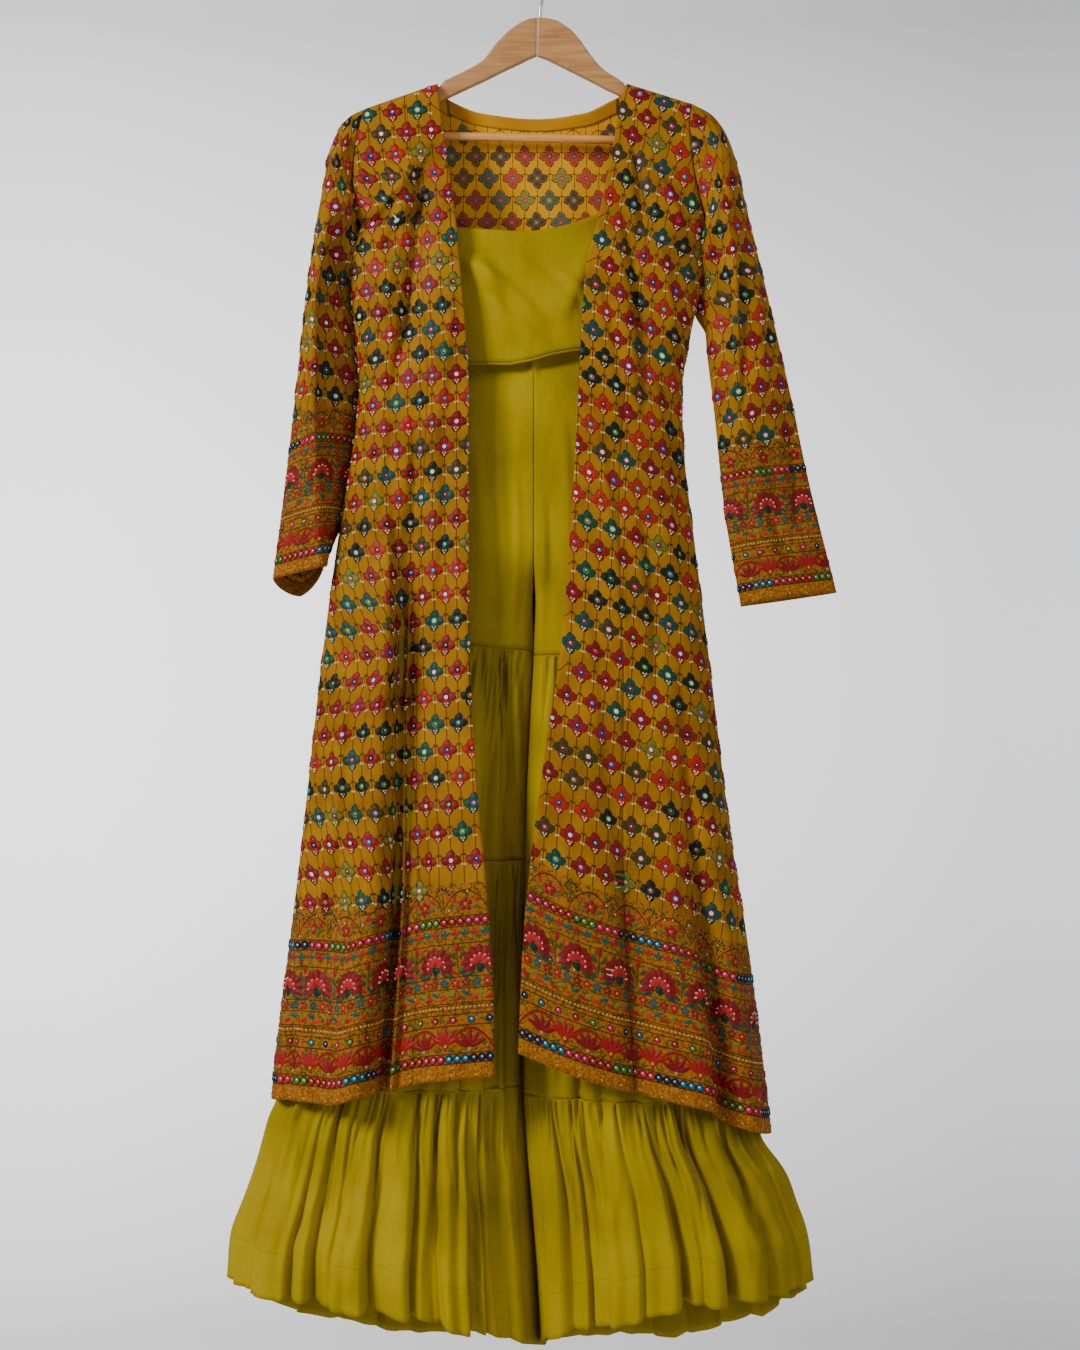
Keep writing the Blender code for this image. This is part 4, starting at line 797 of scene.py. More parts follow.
# A material with its shader's inputs and its noises on Object coordinates. A noise has the size
# of its grains in mm, its detail and how much it is squeezed along each axis.
def newMaterial(name, looks):
    material = bpy.data.materials.new(name)
    material.use_nodes = True
    shader = material.node_tree.nodes["Principled BSDF"]
    setInputs(shader, looks["inputs"])
    add = functools.partial(addNode, material.node_tree)
    place = add("TexCoord").outputs["Object"]
    noises = {}
    for key, (size, detail, *squeeze) in looks["noises"].items():
        vector = add("VectorMath MULTIPLY", place, squeeze) if squeeze else place
        noises[key] = add("TexNoise", {"Vector": vector, "Scale": 1 / (size * mm),
                                       "Detail": detail})
    return material, shader, add, place, noises


# Joins the colour to the shader, and the heights: each with its depth in mm and its strength
def finishShader(shader, colour, *heights):
    setInputs(shader, {"Base Color": colour})
    normal = {}
    for height, depth, strength in heights:
        links = {"Height": height, "Distance": depth * mm, "Strength": strength, **normal}
        normal = {"Normal": addNode(shader.id_data, "Bump", links)}
    setInputs(shader, normal)


# 1 within a line of that half width, falling to 0 beside it
def drawnLine(add, distance, half):
    away = add("Math ABSOLUTE", distance)
    return add("MapRange", {"Value": away, "From Min": half, "From Max": half * 0.45})


# The embroidery's layout in mm: stems across the cloth and rows of flowers down it, rows per mm
# at the shoulders and how much fewer lower down, and the border's height and repeats
columnStep, rowStep = 13.2, 25.7
rowShare, rowGrowth = 0.0440, 6.0e-6
borderTop = 203.0
waveStep, bootaStep = 51.0, 46.6
# Swinging lines: step along the cloth, swing, height above the hem, half width, power, start
swings = {
    "arches": (math.pi / bootaStep, 24.0, 172.0, 1.2, 0.6, 0.0),
    "wave": (math.pi / waveStep, 22.0, 31.0, 2.4, 0.8, 0.0),
    "trail": (4 * math.pi / bootaStep, 5.0, 112.0, 0.8, None, 0.0),
    "upperTrail": (4 * math.pi / bootaStep, 4.0, 136.0, 0.7, None, 1.3),
}
# Straight lines of the border: height above the hem and half width
borderLines = ((17.4, 0.9), (27.6, 0.8), (56.6, 0.9), (68.2, 0.7), (72.6, 0.5), (77.6, 0.5),
               (79.6, 0.7), (94.5, 0.6), (106.5, 0.6), (141.0, 0.7), (158.6, 0.8), (169.4, 0.8))

# The weave's threads are drawn about twice as far apart as the real ones, and the chain stitches
# a little long, because they wouldn't show otherwise
jacketLooks = {
    "inputs": {"Roughness": 0.82, "Specular IOR Level": 0.12},
    "noises": {"threads": (0.5263, 1.0), "bandGrain": (2.381, 2.0), "scribble": (6.667, 2.0),
               "wander": (11.11, 1.0), "puckers": (14.29, 2.0), "mottle": (45.45, 3.0)},
    "ground": ("8E5E08", "AE7A0E"),
    "reverseGround": ("D8960E", "F2B018"),
    "stem": "54200E",
    "vine": "6B3E12",
    "reverseVine": "8E5A10",
    "border": "A2601A",
    "scribble": "4E4A12",
    "trail": "5E6A1C",
    "lines": "5A260E",
    "hemBand": ("7E4410", "B07422"),
    "wave": "8E1710",
    "stitch": 1.9,
    "stemHalf": 0.75,
    "reverseStemHalf": 0.5,
    "scallopRise": 9.5,
    "scallopHalf": 0.95,
    "bandTop": 17.0,
}


# Mustard georgette, woven from twisted yarns and embroidered by machine in chain stitch: a matt,
# faintly pebbled ground with darker raised lines. The lines follow the cloth's own coordinates.
def jacketMaterial(name, reverse):
    looks = jacketLooks
    material, shader, add, place, noises = newMaterial(name, looks)
    cloth, hem = (add("SeparateXYZ", add("UVMap", uv_map=layer)) for layer in ("cloth", "hem"))
    u, v, a, w = (add("Math MULTIPLY", part.outputs[k], 1 / mm)
                  for part in (cloth, hem) for k in (0, 1))
    # the needle wanders a little off the drawn line
    wander = add("Math MULTIPLY_ADD", noises["wander"], 1.6, -0.8)
    u, v = add("Math ADD", u, wander), add("Math ADD", v, wander)
    # stems through the flowers
    away = add("Math SUBTRACT", add("Math FRACT", add("Math DIVIDE", u, columnStep)), 0.5)
    away = add("Math SUBTRACT", add("Math ABSOLUTE", away), 0.5)
    stem = drawnLine(add, add("Math MULTIPLY", away, columnStep),
                     looks["reverseStemHalf" if reverse else "stemHalf"])
    stitches = add("Math SINE", add("Math MULTIPLY", v, math.tau / looks["stitch"]))
    stem = add("Math MULTIPLY", stem, add("Math MULTIPLY_ADD", stitches, 0.2, 0.8))
    # scallops that join the flowers of each row
    rowAt = add("Math MULTIPLY", v, add("Math MULTIPLY_ADD", v, -rowGrowth, rowShare))
    rowNumber = add("Math FLOOR", add("Math ADD", rowAt, 0.45))
    odd = add("Math FLOORED_MODULO", rowNumber, 2.0)
    phase = add("Math ADD", add("Math DIVIDE", u, columnStep), odd)
    bow = add("Math SINE", add("Math MULTIPLY", phase, math.pi / 2))
    bow = add("Math MULTIPLY", add("Math MULTIPLY", bow, bow), -looks["scallopRise"])
    fromRow = add("Math MULTIPLY", add("Math SUBTRACT", rowAt, rowNumber), rowStep)
    fromScallop = add("Math SUBTRACT", fromRow, add("Math ADD", bow, 4.5))
    scallop = drawnLine(add, fromScallop, looks["scallopHalf"])
    inField = add("Math GREATER_THAN", w, borderTop)
    inBorder = add("Math SUBTRACT", 1.0, inField)

    # a line whose height above the hem swings along the cloth, round or with cusps
    def swinging(step, swing, level, half, power, shift):
        curl = add("Math SINE", add("Math MULTIPLY_ADD", a, step, shift))
        if power:
            curl = add("Math POWER", add("Math ABSOLUTE", curl), power)
        middle = add("Math MULTIPLY_ADD", curl, swing, level)
        return drawnLine(add, add("Math SUBTRACT", w, middle), half)

    drawn, wave, trail, upperTrail = (swinging(*row) for row in swings.values())
    trail = add("Math MAXIMUM", trail, upperTrail)
    for level, half in borderLines:
        line = drawnLine(add, add("Math SUBTRACT", w, level), half)
        drawn = add("Math MAXIMUM", drawn, line)
    scribble = drawnLine(add, add("Math SUBTRACT", noises["scribble"], 0.5), 0.05)
    dark, light = looks["reverseGround" if reverse else "ground"]
    colour = add("ValToRGB", noises["mottle"], stops=[(0.3, dark), (0.7, light)])
    dark, light = looks["hemBand"]
    band = add("ValToRGB", noises["bandGrain"], stops=[(0.35, dark), (0.65, light)])
    edging = add("Math MULTIPLY", inBorder, 0.35 if reverse else 0.8)
    for share, over in ((edging, looks["border"]),
                        (add("Math MULTIPLY", scribble, inBorder), looks["scribble"]),
                        (add("Math MULTIPLY", scallop, inField),
                         looks["reverseVine" if reverse else "vine"]),
                        (add("Math MULTIPLY", stem, inField), looks["stem"]),
                        (add("Math MULTIPLY", trail, inBorder), looks["trail"]),
                        (add("Math LESS_THAN", w, looks["bandTop"]), band),
                        (drawn, looks["lines"]), (wave, looks["wave"])):
        over = linear(over) if isinstance(over, str) else over
        colour = add("Mix", share, colour, over, data_type="RGBA")
    raised = add("Math MAXIMUM", add("Math MAXIMUM", stem, scallop),
                 add("Math MAXIMUM", drawn, wave))
    finishShader(shader, colour, (noises["threads"], 0.2, 0.5), (noises["puckers"], 1.8, 0.6),
                 (raised, 0.5, 0.8))
    return material


# The crepe's pebbles are drawn twice their real size, so that they show
crepeLooks = {
    "inputs": {"Roughness": 0.8, "Specular IOR Level": 0.15},
    "noises": {"pebbles": (0.625, 2.0), "slubs": (16.67, 3.0, 6.0, 6.0, 0.35),
               "crumples": (38.46, 3.0, 1.5, 1.5, 0.7), "clouds": (111.1, 2.0)},
    "tones": ("907A00", "A58D00", "B49B00"),
    "seam": "5A4C00",
    "seamAboveHem": 48.0,
    "seamBelow": -1.3,
}


# Chartreuse viscose crepe, woven from twisted yarns: matt and pebbled, with faint slubs
def crepeMaterial():
    looks = crepeLooks
    material, shader, add, place, noises = newMaterial("viscoseCrepeWoven", looks)
    clouds = add("Math MULTIPLY", noises["clouds"], 0.9)
    both = add("Math MULTIPLY_ADD", noises["slubs"], 0.1, clouds)
    colour = add("ValToRGB", both, stops=zip((0.3, 0.5, 0.7), looks["tones"]))
    # the seam above the lowest tier's hem
    hem = add("SeparateXYZ", add("UVMap", uv_map="hem"))
    fromHem = add("Math MULTIPLY", hem.outputs[1], 1 / mm)
    low = add("Math LESS_THAN", add("SeparateXYZ", place).outputs[2], looks["seamBelow"])
    seam = drawnLine(add, add("Math SUBTRACT", fromHem, looks["seamAboveHem"]), 0.9)
    seam = add("Math MULTIPLY", seam, low)
    colour = add("Mix", add("Math MULTIPLY", seam, 0.1), colour, linear(looks["seam"]),
                 data_type="RGBA")
    finishShader(shader, colour, (noises["pebbles"], 0.25, 0.6),
                 (add("Math MULTIPLY", seam, -1.0), 0.4, 0.6), (noises["crumples"], 4.0, 0.6))
    return material


# Plain finishes: a ramp of tones on one noise, or the piece's own colour in its attribute tone,
# shaded by that noise; raised is the noise that stands out, its depth in mm and its strength
plainLooks = {
    # mustard cotton cambric, plain woven and cut on the bias: smooth and matt
    "cottonCambricFacing": {
        "inputs": {"Roughness": 0.8, "Specular IOR Level": 0.15},
        "noises": {"mottle": (33.33, 3.0), "threads": (0.6667, 1.0)},
        "tones": ("B87C08", "CC8E0C"), "raised": ("threads", 0.2, 0.5)},
    # steel wire, drawn and nickel plated: bright, with faint drawing marks
    "nickelPlatedWire": {
        "inputs": {"Roughness": 0.2, "Metallic": 1.0}, "noises": {"marks": (1.111, 2.0)},
        "tones": ("B4B4B6", "CFCFCF"), "raised": ("marks", 0.1, 0.3)},
    # rayon thread in satin stitch: a soft sheen over ridges of fibre, drawn coarser to show
    "rayonThreadSatinStitch": {
        "inputs": {"Roughness": 0.55, "Specular IOR Level": 0.25},
        "noises": {"fibre": (1.4286, 2.0)}, "shade": 0.5, "raised": ("fibre", 0.4, 0.8)},
    # silvered glass discs: bright, a little uneven; each copy's tone paints in a reflection or a
    # glint
    "silveredGlassMirror": {
        "inputs": {"Roughness": 0.18, "Metallic": 0.85}, "noises": {"uneven": (3.846, 1.0)},
        "shade": 0.0, "raised": ("uneven", 0.5, 0.5)},
    # stamped plastic sequins with a pearl coat: glossy, some lighter than others
    "pearlPlasticSequin": {
        "inputs": {"Roughness": 0.25, "Coat Weight": 0.6}, "noises": {"lit": (3.333, 1.0)},
        "shade": 0.6},
}


def plainMaterial(name):
    looks = plainLooks[name]
    material, shader, add, place, noises = newMaterial(name, looks)
    grain = next(iter(noises.values()))
    if "tones" in looks:
        colour = add("ValToRGB", grain, stops=zip((0.3, 0.7), looks["tones"]))
    else:
        colour = add("Attribute", attribute_name="tone")
        if looks["shade"]:
            value = add("Math MULTIPLY_ADD", grain, looks["shade"], 0.75)
            colour = add("HueSaturation", {"Color": colour, "Value": value})
    raised = [(noises[key], depth, strength)
              for key, depth, strength in [looks["raised"]]] if "raised" in looks else []
    finishShader(shader, colour, *raised)
    return material


woodLooks = {
    "inputs": {"Roughness": 0.42, "Coat Weight": 0.25, "Coat Roughness": 0.2},
    "noises": {"grain": (18.18, 4.0, 0.35, 4.0, 3.0), "fine": (3.333, 2.0, 0.12, 3.0, 3.0)},
    "arms": ("A06A38", "C28A50", "D6A268"),
    # the bar: the arms' wood, painted lighter as painted light, and a little more orange
    "bar": ("CC7E30", "EAA052", "F6B86C"),
    "knot": "7A4A26",
    "knotSpacing": 29.41,
}


# Wood turned and sanded, then varnished clear: satin gloss over grain that runs along the
# hanger, with a few small knots
def woodMaterial(name, tones):
    looks = woodLooks
    material, shader, add, place, noises = newMaterial(name, looks)
    fine = add("Math MULTIPLY", noises["fine"], 0.4)
    both = add("Math MULTIPLY_ADD", noises["grain"], 0.6, fine)
    colour = add("ValToRGB", both, stops=zip((0.28, 0.5, 0.72), looks[tones]))
    flecks = add("TexVoronoi", {"Vector": place, "Scale": 1 / (looks["knotSpacing"] * mm)})
    knots = add("MapRange", {"Value": flecks, "From Min": 0.09, "From Max": 0.03})
    colour = add("Mix", add("Math MULTIPLY", knots, 0.6), colour, linear(looks["knot"]),
                 data_type="RGBA")
    finishShader(shader, colour, (noises["fine"], 0.3, 0.4))
    return material


materials = {
    "jacket": jacketMaterial("georgetteChainStitched", False),
    "reverse": jacketMaterial("georgetteReverseSide", True),
    "crepe": crepeMaterial(),
    "facing": plainMaterial("cottonCambricFacing"),
    "thread": plainMaterial("rayonThreadSatinStitch"),
    "mirror": plainMaterial("silveredGlassMirror"),
    "sequin": plainMaterial("pearlPlasticSequin"),
    "wood": woodMaterial("lotusWoodVarnished", "arms"),
    # the bar's wood, with painted light making it lighter than the arms
    "bar": woodMaterial("dowelVarnishedPaintedLight", "bar"),
    "steel": plainMaterial("nickelPlatedWire"),
}
print("materials ready")


def addObject(name, mesh, finishes):
    piece = bpy.data.objects.new(name, mesh)
    bpy.context.scene.collection.objects.link(piece)
    mesh.materials.clear()
    for finish in finishes:
        mesh.materials.append(materials[finish])
    return piece


# A UV map from one pair of numbers for each vertex
def setMap(mesh, name, values):
    corners = np.zeros(len(mesh.loops), dtype=np.int32)
    mesh.loops.foreach_get("vertex_index", corners)
    layer = mesh.uv_layers.new(name=name)
    layer.data.foreach_set("uv", values[corners].astype(np.float32).ravel())


# The cloth of one piece: its grid, welded if it is a tube, with the wall's thickness
def clothPiece(name, grid, finishes, node, hemScale=1.0):
    rows, columns = grid["points"].shape[:2]
    shape = bmesh.new()
    bmesh.ops.create_grid(shape, x_segments=columns - 1, y_segments=rows - 1, size=0.5)
    if grid["sign"] < 0:
        bmesh.ops.reverse_faces(shape, faces=shape.faces[:])
    mesh = bpy.data.meshes.new(name)
    shape.to_mesh(mesh)
    mesh.vertices.foreach_set("co", grid["points"].astype(np.float32).ravel())
    if "u" not in grid:
        fitGrain(grid)
    setMap(mesh, "cloth", np.column_stack([grid["u"].ravel(), grid["v"].ravel()]) * mm)
    hem = np.column_stack([grid["across"].ravel(), grid["hem"].ravel()])
    setMap(mesh, "hem", hem * mm / hemScale)
    shape.clear()
    shape.from_mesh(mesh)
    if grid["tube"]:
        bmesh.ops.remove_doubles(shape, verts=shape.verts[:], dist=1e-5)
    shape.to_mesh(mesh)
    shape.free()
    mesh.shade_smooth()
    piece = addObject(name, mesh, finishes)
    wall = piece.modifiers.new("wall", "SOLIDIFY")
    wall.thickness = grid["wall"] * mm
    wall.offset = -1.0
    wall.material_offset = 1 if len(finishes) > 1 else 0
    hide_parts(node)
    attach(piece, "root")
    return piece


def spread(first, last, length, step):
    return np.linspace(first, last, max(int(round(length / step)) + 1, 2))


jacketRows = np.concatenate([
    shoulderTop + (underarm - shoulderTop) * (1 - np.cos(np.linspace(0, math.pi, 41))) / 2,
    spread(underarm, nominalHem, nominalHem - underarm, 5.0)[1:],
])


def finer(columns, times):
    count = len(columns)
    return np.interp(np.linspace(0, count - 1, (count - 1) * times + 1), np.arange(count), columns)


def frontColumns(side, part):
    halfGap = 0.5 * seamGap / 200.0
    atHem = np.array(sideColumns[side])
    spreadOut = finer((atHem - atHem[0]) / (1 - atHem[0]), 4)

    def columns(row):
        seam = smooth(princess, side, row)
        if part == "centre":
            return np.linspace(0, 1, 19) * (seam - halfGap)
        lowered = ease((row - 300) / 300)
        mixed = np.linspace(0, 1, len(spreadOut)) * (1 - lowered) + spreadOut * lowered
        return seam + halfGap + (1 - seam - halfGap) * mixed

    return columns


def backPlaces(row, times=4):
    many = np.linspace(0, 1, 800)
    atTop = np.interp(backColumns, jacketBack(shoulderTop, many)[:, 0], many)
    lowered = ease((row - shoulderTop) / 300)
    return finer(atTop * (1 - lowered) + np.linspace(0, 1, len(atTop)) * lowered, times)


surfaces = {}


# Some columns of a grid, as a grid of its own
def cutWhere(grid, first, last):
    part = dict(grid)
    for name in ("points", "normals", "across", "down", "hem", "u", "v"):
        part[name] = grid[name][:, first:last]
    return part


# The grain of each piece: the sleeves' straight direction, how the rows of flowers sink away from
# the opening, the level where a front's grain is true to its free edge, and how much of the edge's
# slant it takes up above and below
grainLooks = {"sleeveLeft": (-0.158, 0.987), "sleeveRight": (0.199, 0.980),
              "slopeLeft": 0.08, "slopeRight": 0.32, "trueAt": 460.0,
              "edgeLeft": (0.5, 0.5), "edgeRight": (0.2, 0.5)}
sleeveSeam = 0.75  # the tube's seam lies on its inner line
sleeveLength, sleeveScale = 515.0, 0.84  # mm, and the size of its border's motifs


def makeJacketCloth():
    for side in ("Left", "Right"):
        parts = [frontColumns(side, part) for part in ("centre", "side")]
        whole = makeGrid(jacketFront(side), jacketRows,
                         lambda row, parts=parts: np.concatenate([part(row) for part in parts]),
                         creases["f"], still=("last",))
        edge = smooth(jacket, "open" + side, jacketRows)
        trueAt, (above, below) = grainLooks["trueAt"], grainLooks["edge" + side]
        straight = smooth(jacket, "open" + side, np.full(len(jacketRows), trueAt))
        taken = np.where(jacketRows < trueAt, above, below)
        shift = (straight - edge) * taken * (1 if side == "Left" else -1)
        fitGrain(whole, shift=shift, slope=grainLooks["slope" + side])
        count = len(parts[0](jacketRows[0]))
        for part, first, last in (("Centre", 0, count), ("Side", count, whole["points"].shape[1])):
            clothPiece("jacketFront%s%sCloth" % (part, side), cutWhere(whole, first, last),
                       ("jacket", "reverse"),
                       "jacket_front_%s_%s" % (part.lower(), side.lower()))
        surfaces["front" + side] = whole
        columns = sleeveSeam + np.linspace(0, 1, 69)
        grid = makeGrid(sleeve(side), spread(0, 1, sleeveLength, 4.5), columns,
                        creases["l" if side == "Left" else "r"], tube=True)
        fitGrain(grid, axis=grainLooks["sleeve" + side])
        clothPiece("jacketSleeve%sCloth" % side, grid, ("jacket", "reverse"),
                   "jacket_sleeve_" + side.lower(),
                   hemScale=sleeveScale)
        surfaces["sleeve" + side] = grid
    grid = makeGrid(jacketBack, jacketRows, backPlaces, creases["b"])
    fitGrain(grid, origin=grid["points"].shape[1] // 2)
    clothPiece("jacketBackCloth", grid, ("jacket", "reverse"), "jacket_back")
    surfaces["back"] = grid


def makeFacing():
    def place(level, u):
        line = jacketBack(level, u)
        line[:, 1] -= jacketWall + seamGap + 0.15
        return line

    def columns(row):
        ends = backPlaces(row, 1)[[5, 13]]
        return np.linspace(ends[0], ends[1], 61)

    # from just below the neck seam down to the solids' third row of sections
    lowest = shoulderTop + (underarm - shoulderTop) * (1 - math.cos(math.pi * 2 / 9)) / 2
    rows = np.linspace(shoulderTop + 1.4, lowest, 8)
    grid = makeGrid(place, rows, columns, wall=1.0)
    clothPiece("jacketNeckFacingCloth", grid, ("facing",), "jacket_neck_facing")


def towardEnds(count):
    t = np.linspace(0, 1, count)
    return 0.55 * t + 0.45 * (1 - np.cos(math.pi * t)) / 2


def foldColumns(side):
    rows = tierFolds[side]
    beside = np.array([-2.6, -1.5, -0.8, -0.45, -0.2, 0.0, 0.2, 0.45, 0.8, 1.5, 2.6])
    close = (rows["place"][:, None] + rows["width"][:, None] * beside).ravel()
    even = [s for s in np.linspace(0, 1, 121) if np.abs(close - s).min() > 0.004]
    atHem = finer(np.unique(np.round(np.clip(np.concatenate([close, even, [0, 1]]), 0, 1), 5)), 2)
    atHem = np.concatenate([atHem[atHem < 0.5], atHem[atHem >= 0.5][:-1:2], [1.0]])
    lean = np.interp(atHem, [0, *rows["place"], 1], [0, *rows["lean"], 0])
    return lambda v: atHem + lean * (1 - v)


# Columns to a wave of the upper tiers: most at the front beside the inner line, where the jacket
# is open
columnLooks = {"least": 9.0, "more": 12.0, "middle": 0.45, "half": 0.17, "fade": 0.05}


def makeCrepeCloth():
    for face in ("front", "back"):
        grid = makeGrid(cropPanel(face), spread(0, 1, 140, 5.0), towardEnds(81), creases["crop"],
                        wall=crepeWall, still=("sides",))
        clothPiece("cropTop%sCloth" % face.capitalize(), grid, ("crepe",),
                   "crop_top_" + face)
        surfaces["crop" + face] = grid
    half = towardEnds(61) / 2
    grid = makeGrid(waistband, np.linspace(0, 1, 7), np.concatenate([half, 0.5 + half[1:]]),
                    tube=True, wall=crepeWall)
    clothPiece("shararaWaistbandCloth", grid, ("crepe",), "sharara_waistband")
    for side in ("Left", "Right"):
        for face in ("front", "back"):
            grid = makeGrid(yokePanel(side, face), spread(0, 1, 330, 6.0), towardEnds(49),
                            creases["yoke"], wall=crepeWall, still=("sides",))
            clothPiece("shararaYoke%s%sCloth" % (face.capitalize(), side), grid, ("crepe",),
                       "sharara_yoke_%s_%s" % (face, side.lower()))
        for number in range(3):
            count = int(tiers["waves"][number])
            base, phase = wavePhase(count, side, number)
            looks = columnLooks
            share = np.linspace(0, 1, 4001)
            inside = ease((looks["half"] - np.abs(share - looks["middle"])) / looks["fade"])
            thick = looks["least"] + looks["more"] * inside
            places = np.concatenate([[0], np.cumsum(thick[1:])]) / thick[1:].sum()
            many = int(thick.mean() * count)
            columns = np.interp(np.interp(np.linspace(0, 1, many + 1), places, share) * phase[-1],
                                phase, base)
            if number == 2:
                columns = foldColumns(side)
            rows = np.linspace(0, 1, 47) ** 1.25
            grid = makeGrid(tier(side, number), rows, columns,
                            creases["tiers"] if number < 2 else None, tube=True, wall=crepeWall,
                            still=("flanks",))
            clothPiece("shararaTier%d%sCloth" % (number + 1, side), grid, ("crepe",),
                       "sharara_tier_%d_%s" % (number + 1, side.lower()))


makeJacketCloth()
makeFacing()
makeCrepeCloth()
print("cloth ready")


def bilinear(field, i, j):
    a = np.clip(np.floor(i).astype(int), 0, field.shape[0] - 2)
    b = np.clip(np.floor(j).astype(int), 0, field.shape[1] - 2)
    s, t = i - a, j - b
    if field.ndim == 3:
        s, t = s[:, None], t[:, None]
    top = field[a, b] * (1 - t) + field[a, b + 1] * t
    low = field[a + 1, b] * (1 - t) + field[a + 1, b + 1] * t
    return top * (1 - s) + low * s


# Row and column, with fractions, of places on the cloth, by Newton steps from the nearest corner
# of the grid. Places beyond an edge come out on the edge. numbers gives, for each place, the
# number of the motif that it is part of.
def locate(grid, along, level, names, numbers=None):
    wide, tall = grid[names[0]], grid[names[1]]
    rows, columns = wide.shape
    along, level = np.asarray(along, float), np.asarray(level, float)
    groups = np.arange(len(along)) if numbers is None else numbers
    first = np.unique(groups, return_index=True)[1]
    flat = np.column_stack([wide.ravel(), tall.ravel()])
    start = np.zeros(groups.max() + 1, int)
    for index in first:
        same = (flat[:, 0] - along[index]) ** 2 + (flat[:, 1] - level[index]) ** 2
        start[groups[index]] = same.argmin()
    i, j = (part.astype(float) for part in np.divmod(start[groups], columns))
    for step in range(14):
        a = np.clip(np.floor(i).astype(int), 0, rows - 2)
        b = np.clip(np.floor(j).astype(int), 0, columns - 2)
        s, t = i - a, j - b
        slopes = []
        for field in (wide, tall):
            slopes.append((field[a + 1, b] - field[a, b]) * (1 - t)
                          + (field[a + 1, b + 1] - field[a, b + 1]) * t)
            slopes.append((field[a, b + 1] - field[a, b]) * (1 - s)
                          + (field[a + 1, b + 1] - field[a + 1, b]) * s)
        wideI, wideJ, tallI, tallJ = slopes
        offWide = along - bilinear(wide, i, j)
        offTall = level - bilinear(tall, i, j)
        area = wideI * tallJ - wideJ * tallI
        area = np.where(np.abs(area) < 1e-3, 1e-3 * np.sign(area + 1e-12), area)
        di = (offWide * tallJ - offTall * wideJ) / area
        dj = (offTall * wideI - offWide * tallI) / area
        past = ((j <= 0) & (dj < 0)) | ((j >= columns - 1) & (dj > 0))
        di = np.where(past, offTall / np.where(np.abs(tallI) < 0.05, 0.05, tallI), di)
        past = ((i <= 0) & (di < 0)) | ((i >= rows - 1) & (di > 0))
        dj = np.where(past, offWide / np.where(np.abs(wideJ) < 0.05, 0.05, wideJ), dj)
        i = np.clip(i + np.clip(di, -4, 4), 0, rows - 1)
        j = np.clip(j + np.clip(dj, -4, 4), 0, columns - 1)
    return i, j


# Motifs are small flat meshes in millimetres: x across the cloth, y down it, z out of it. Each
# corner carries the number of its tone, which every copy turns into a colour of its own.

# A domed patch of satin stitch, pointed at its far end
def addPatch(shape, tone, x, y, turn, width, length, height, rim, middle, sides=8, point=0.0,
             finish=0, low=0.15):
    made = bmesh.ops.create_circle(shape, cap_ends=True, segments=sides, radius=1.0)
    verts = made["verts"]
    tip = max(verts, key=lambda item: -item.co.y)
    tip.co.y -= point
    matrix = Matrix.Translation((x, y, low)) @ Matrix.Rotation(turn, 4, "Z") @ Matrix.Diagonal(
        (width / 2, length / 2, 1.0, 1.0))
    bmesh.ops.transform(shape, matrix=matrix, verts=verts)
    faces = list({face for vertex in verts for face in vertex.link_faces})
    poked = bmesh.ops.poke(shape, faces=faces, offset=0.0)
    centre = poked["verts"][0]
    centre.co.z = height
    for face in poked["faces"]:
        face.material_index = finish
        if face.normal.z < 0:
            face.normal_flip()
        for loop in face.loops:
            loop[tone] = middle if loop.vert == centre else rim


# A raised ring, round a mirror or a hole
def addRing(shape, tone, x, y, outer, inner, height, edge, floor=None, sides=10, finish=0,
            floorFinish=1):
    made = bmesh.ops.create_circle(shape, cap_ends=True, segments=sides, radius=outer,
                                   matrix=Matrix.Translation((x, y, 0.1)))
    face = made["verts"][0].link_faces[0]
    face.normal_update()
    if face.normal.z < 0:
        face.normal_flip()
    kept = [face]
    for thick, depth in (((outer - inner) * 0.5, height), ((outer - inner) * 0.5, -height * 0.45)):
        grown = bmesh.ops.inset_region(shape, faces=[face], thickness=thick, depth=depth,
                                       use_even_offset=True, use_boundary=True)
        kept += grown["faces"]
    for item in kept:
        item.material_index = finish
        for loop in item.loops:
            loop[tone] = edge
    if floor is None:
        bmesh.ops.delete(shape, geom=[face], context="FACES_ONLY")
        return
    face.material_index = floorFinish
    for loop in face.loops:
        loop[tone] = floor


# The mesh of a motif, with the tone of each corner beside it
def motif(name, draw):
    shape = bmesh.new()
    tone = shape.loops.layers.int.new("tone")
    draw(shape, tone)
    mesh = bpy.data.meshes.new(name)
    shape.to_mesh(mesh)
    shape.free()
    corners = np.zeros(len(mesh.loops), dtype=np.int32)
    mesh.attributes["tone"].data.foreach_get("value", corners)
    places = np.zeros(len(mesh.vertices) * 3, dtype=np.float32)
    mesh.vertices.foreach_get("co", places)
    mesh.attributes.remove(mesh.attributes["tone"])
    return {"mesh": mesh, "tones": corners, "places": places.reshape(-1, 3).astype(float)}


# Patches in a fan, turned from first to last at their reach from its foot; lows are their starts
def addFan(shape, tone, count, first, last, reach, *patch, foot=0.0, lows=(0.15,), **more):
    for k, turn in enumerate(np.linspace(first, last, count)):
        addPatch(shape, tone, reach * math.sin(turn), foot - reach * math.cos(turn), turn, *patch,
                 low=lows[k % len(lows)], **more)


# Four pointed petals, each on a darker outline
def addPetals(shape, tone, width, length, reach, height, outline, rim, middle):
    around = (4, 0, 1.5 * math.pi, reach)
    addFan(shape, tone, *around, width + 1.7, length + 1.7, 0.3, outline, outline, sides=7,
           point=0.22, lows=(0.1,))
    addFan(shape, tone, *around, width, length, height, rim, middle, point=0.24, lows=(0.32,))


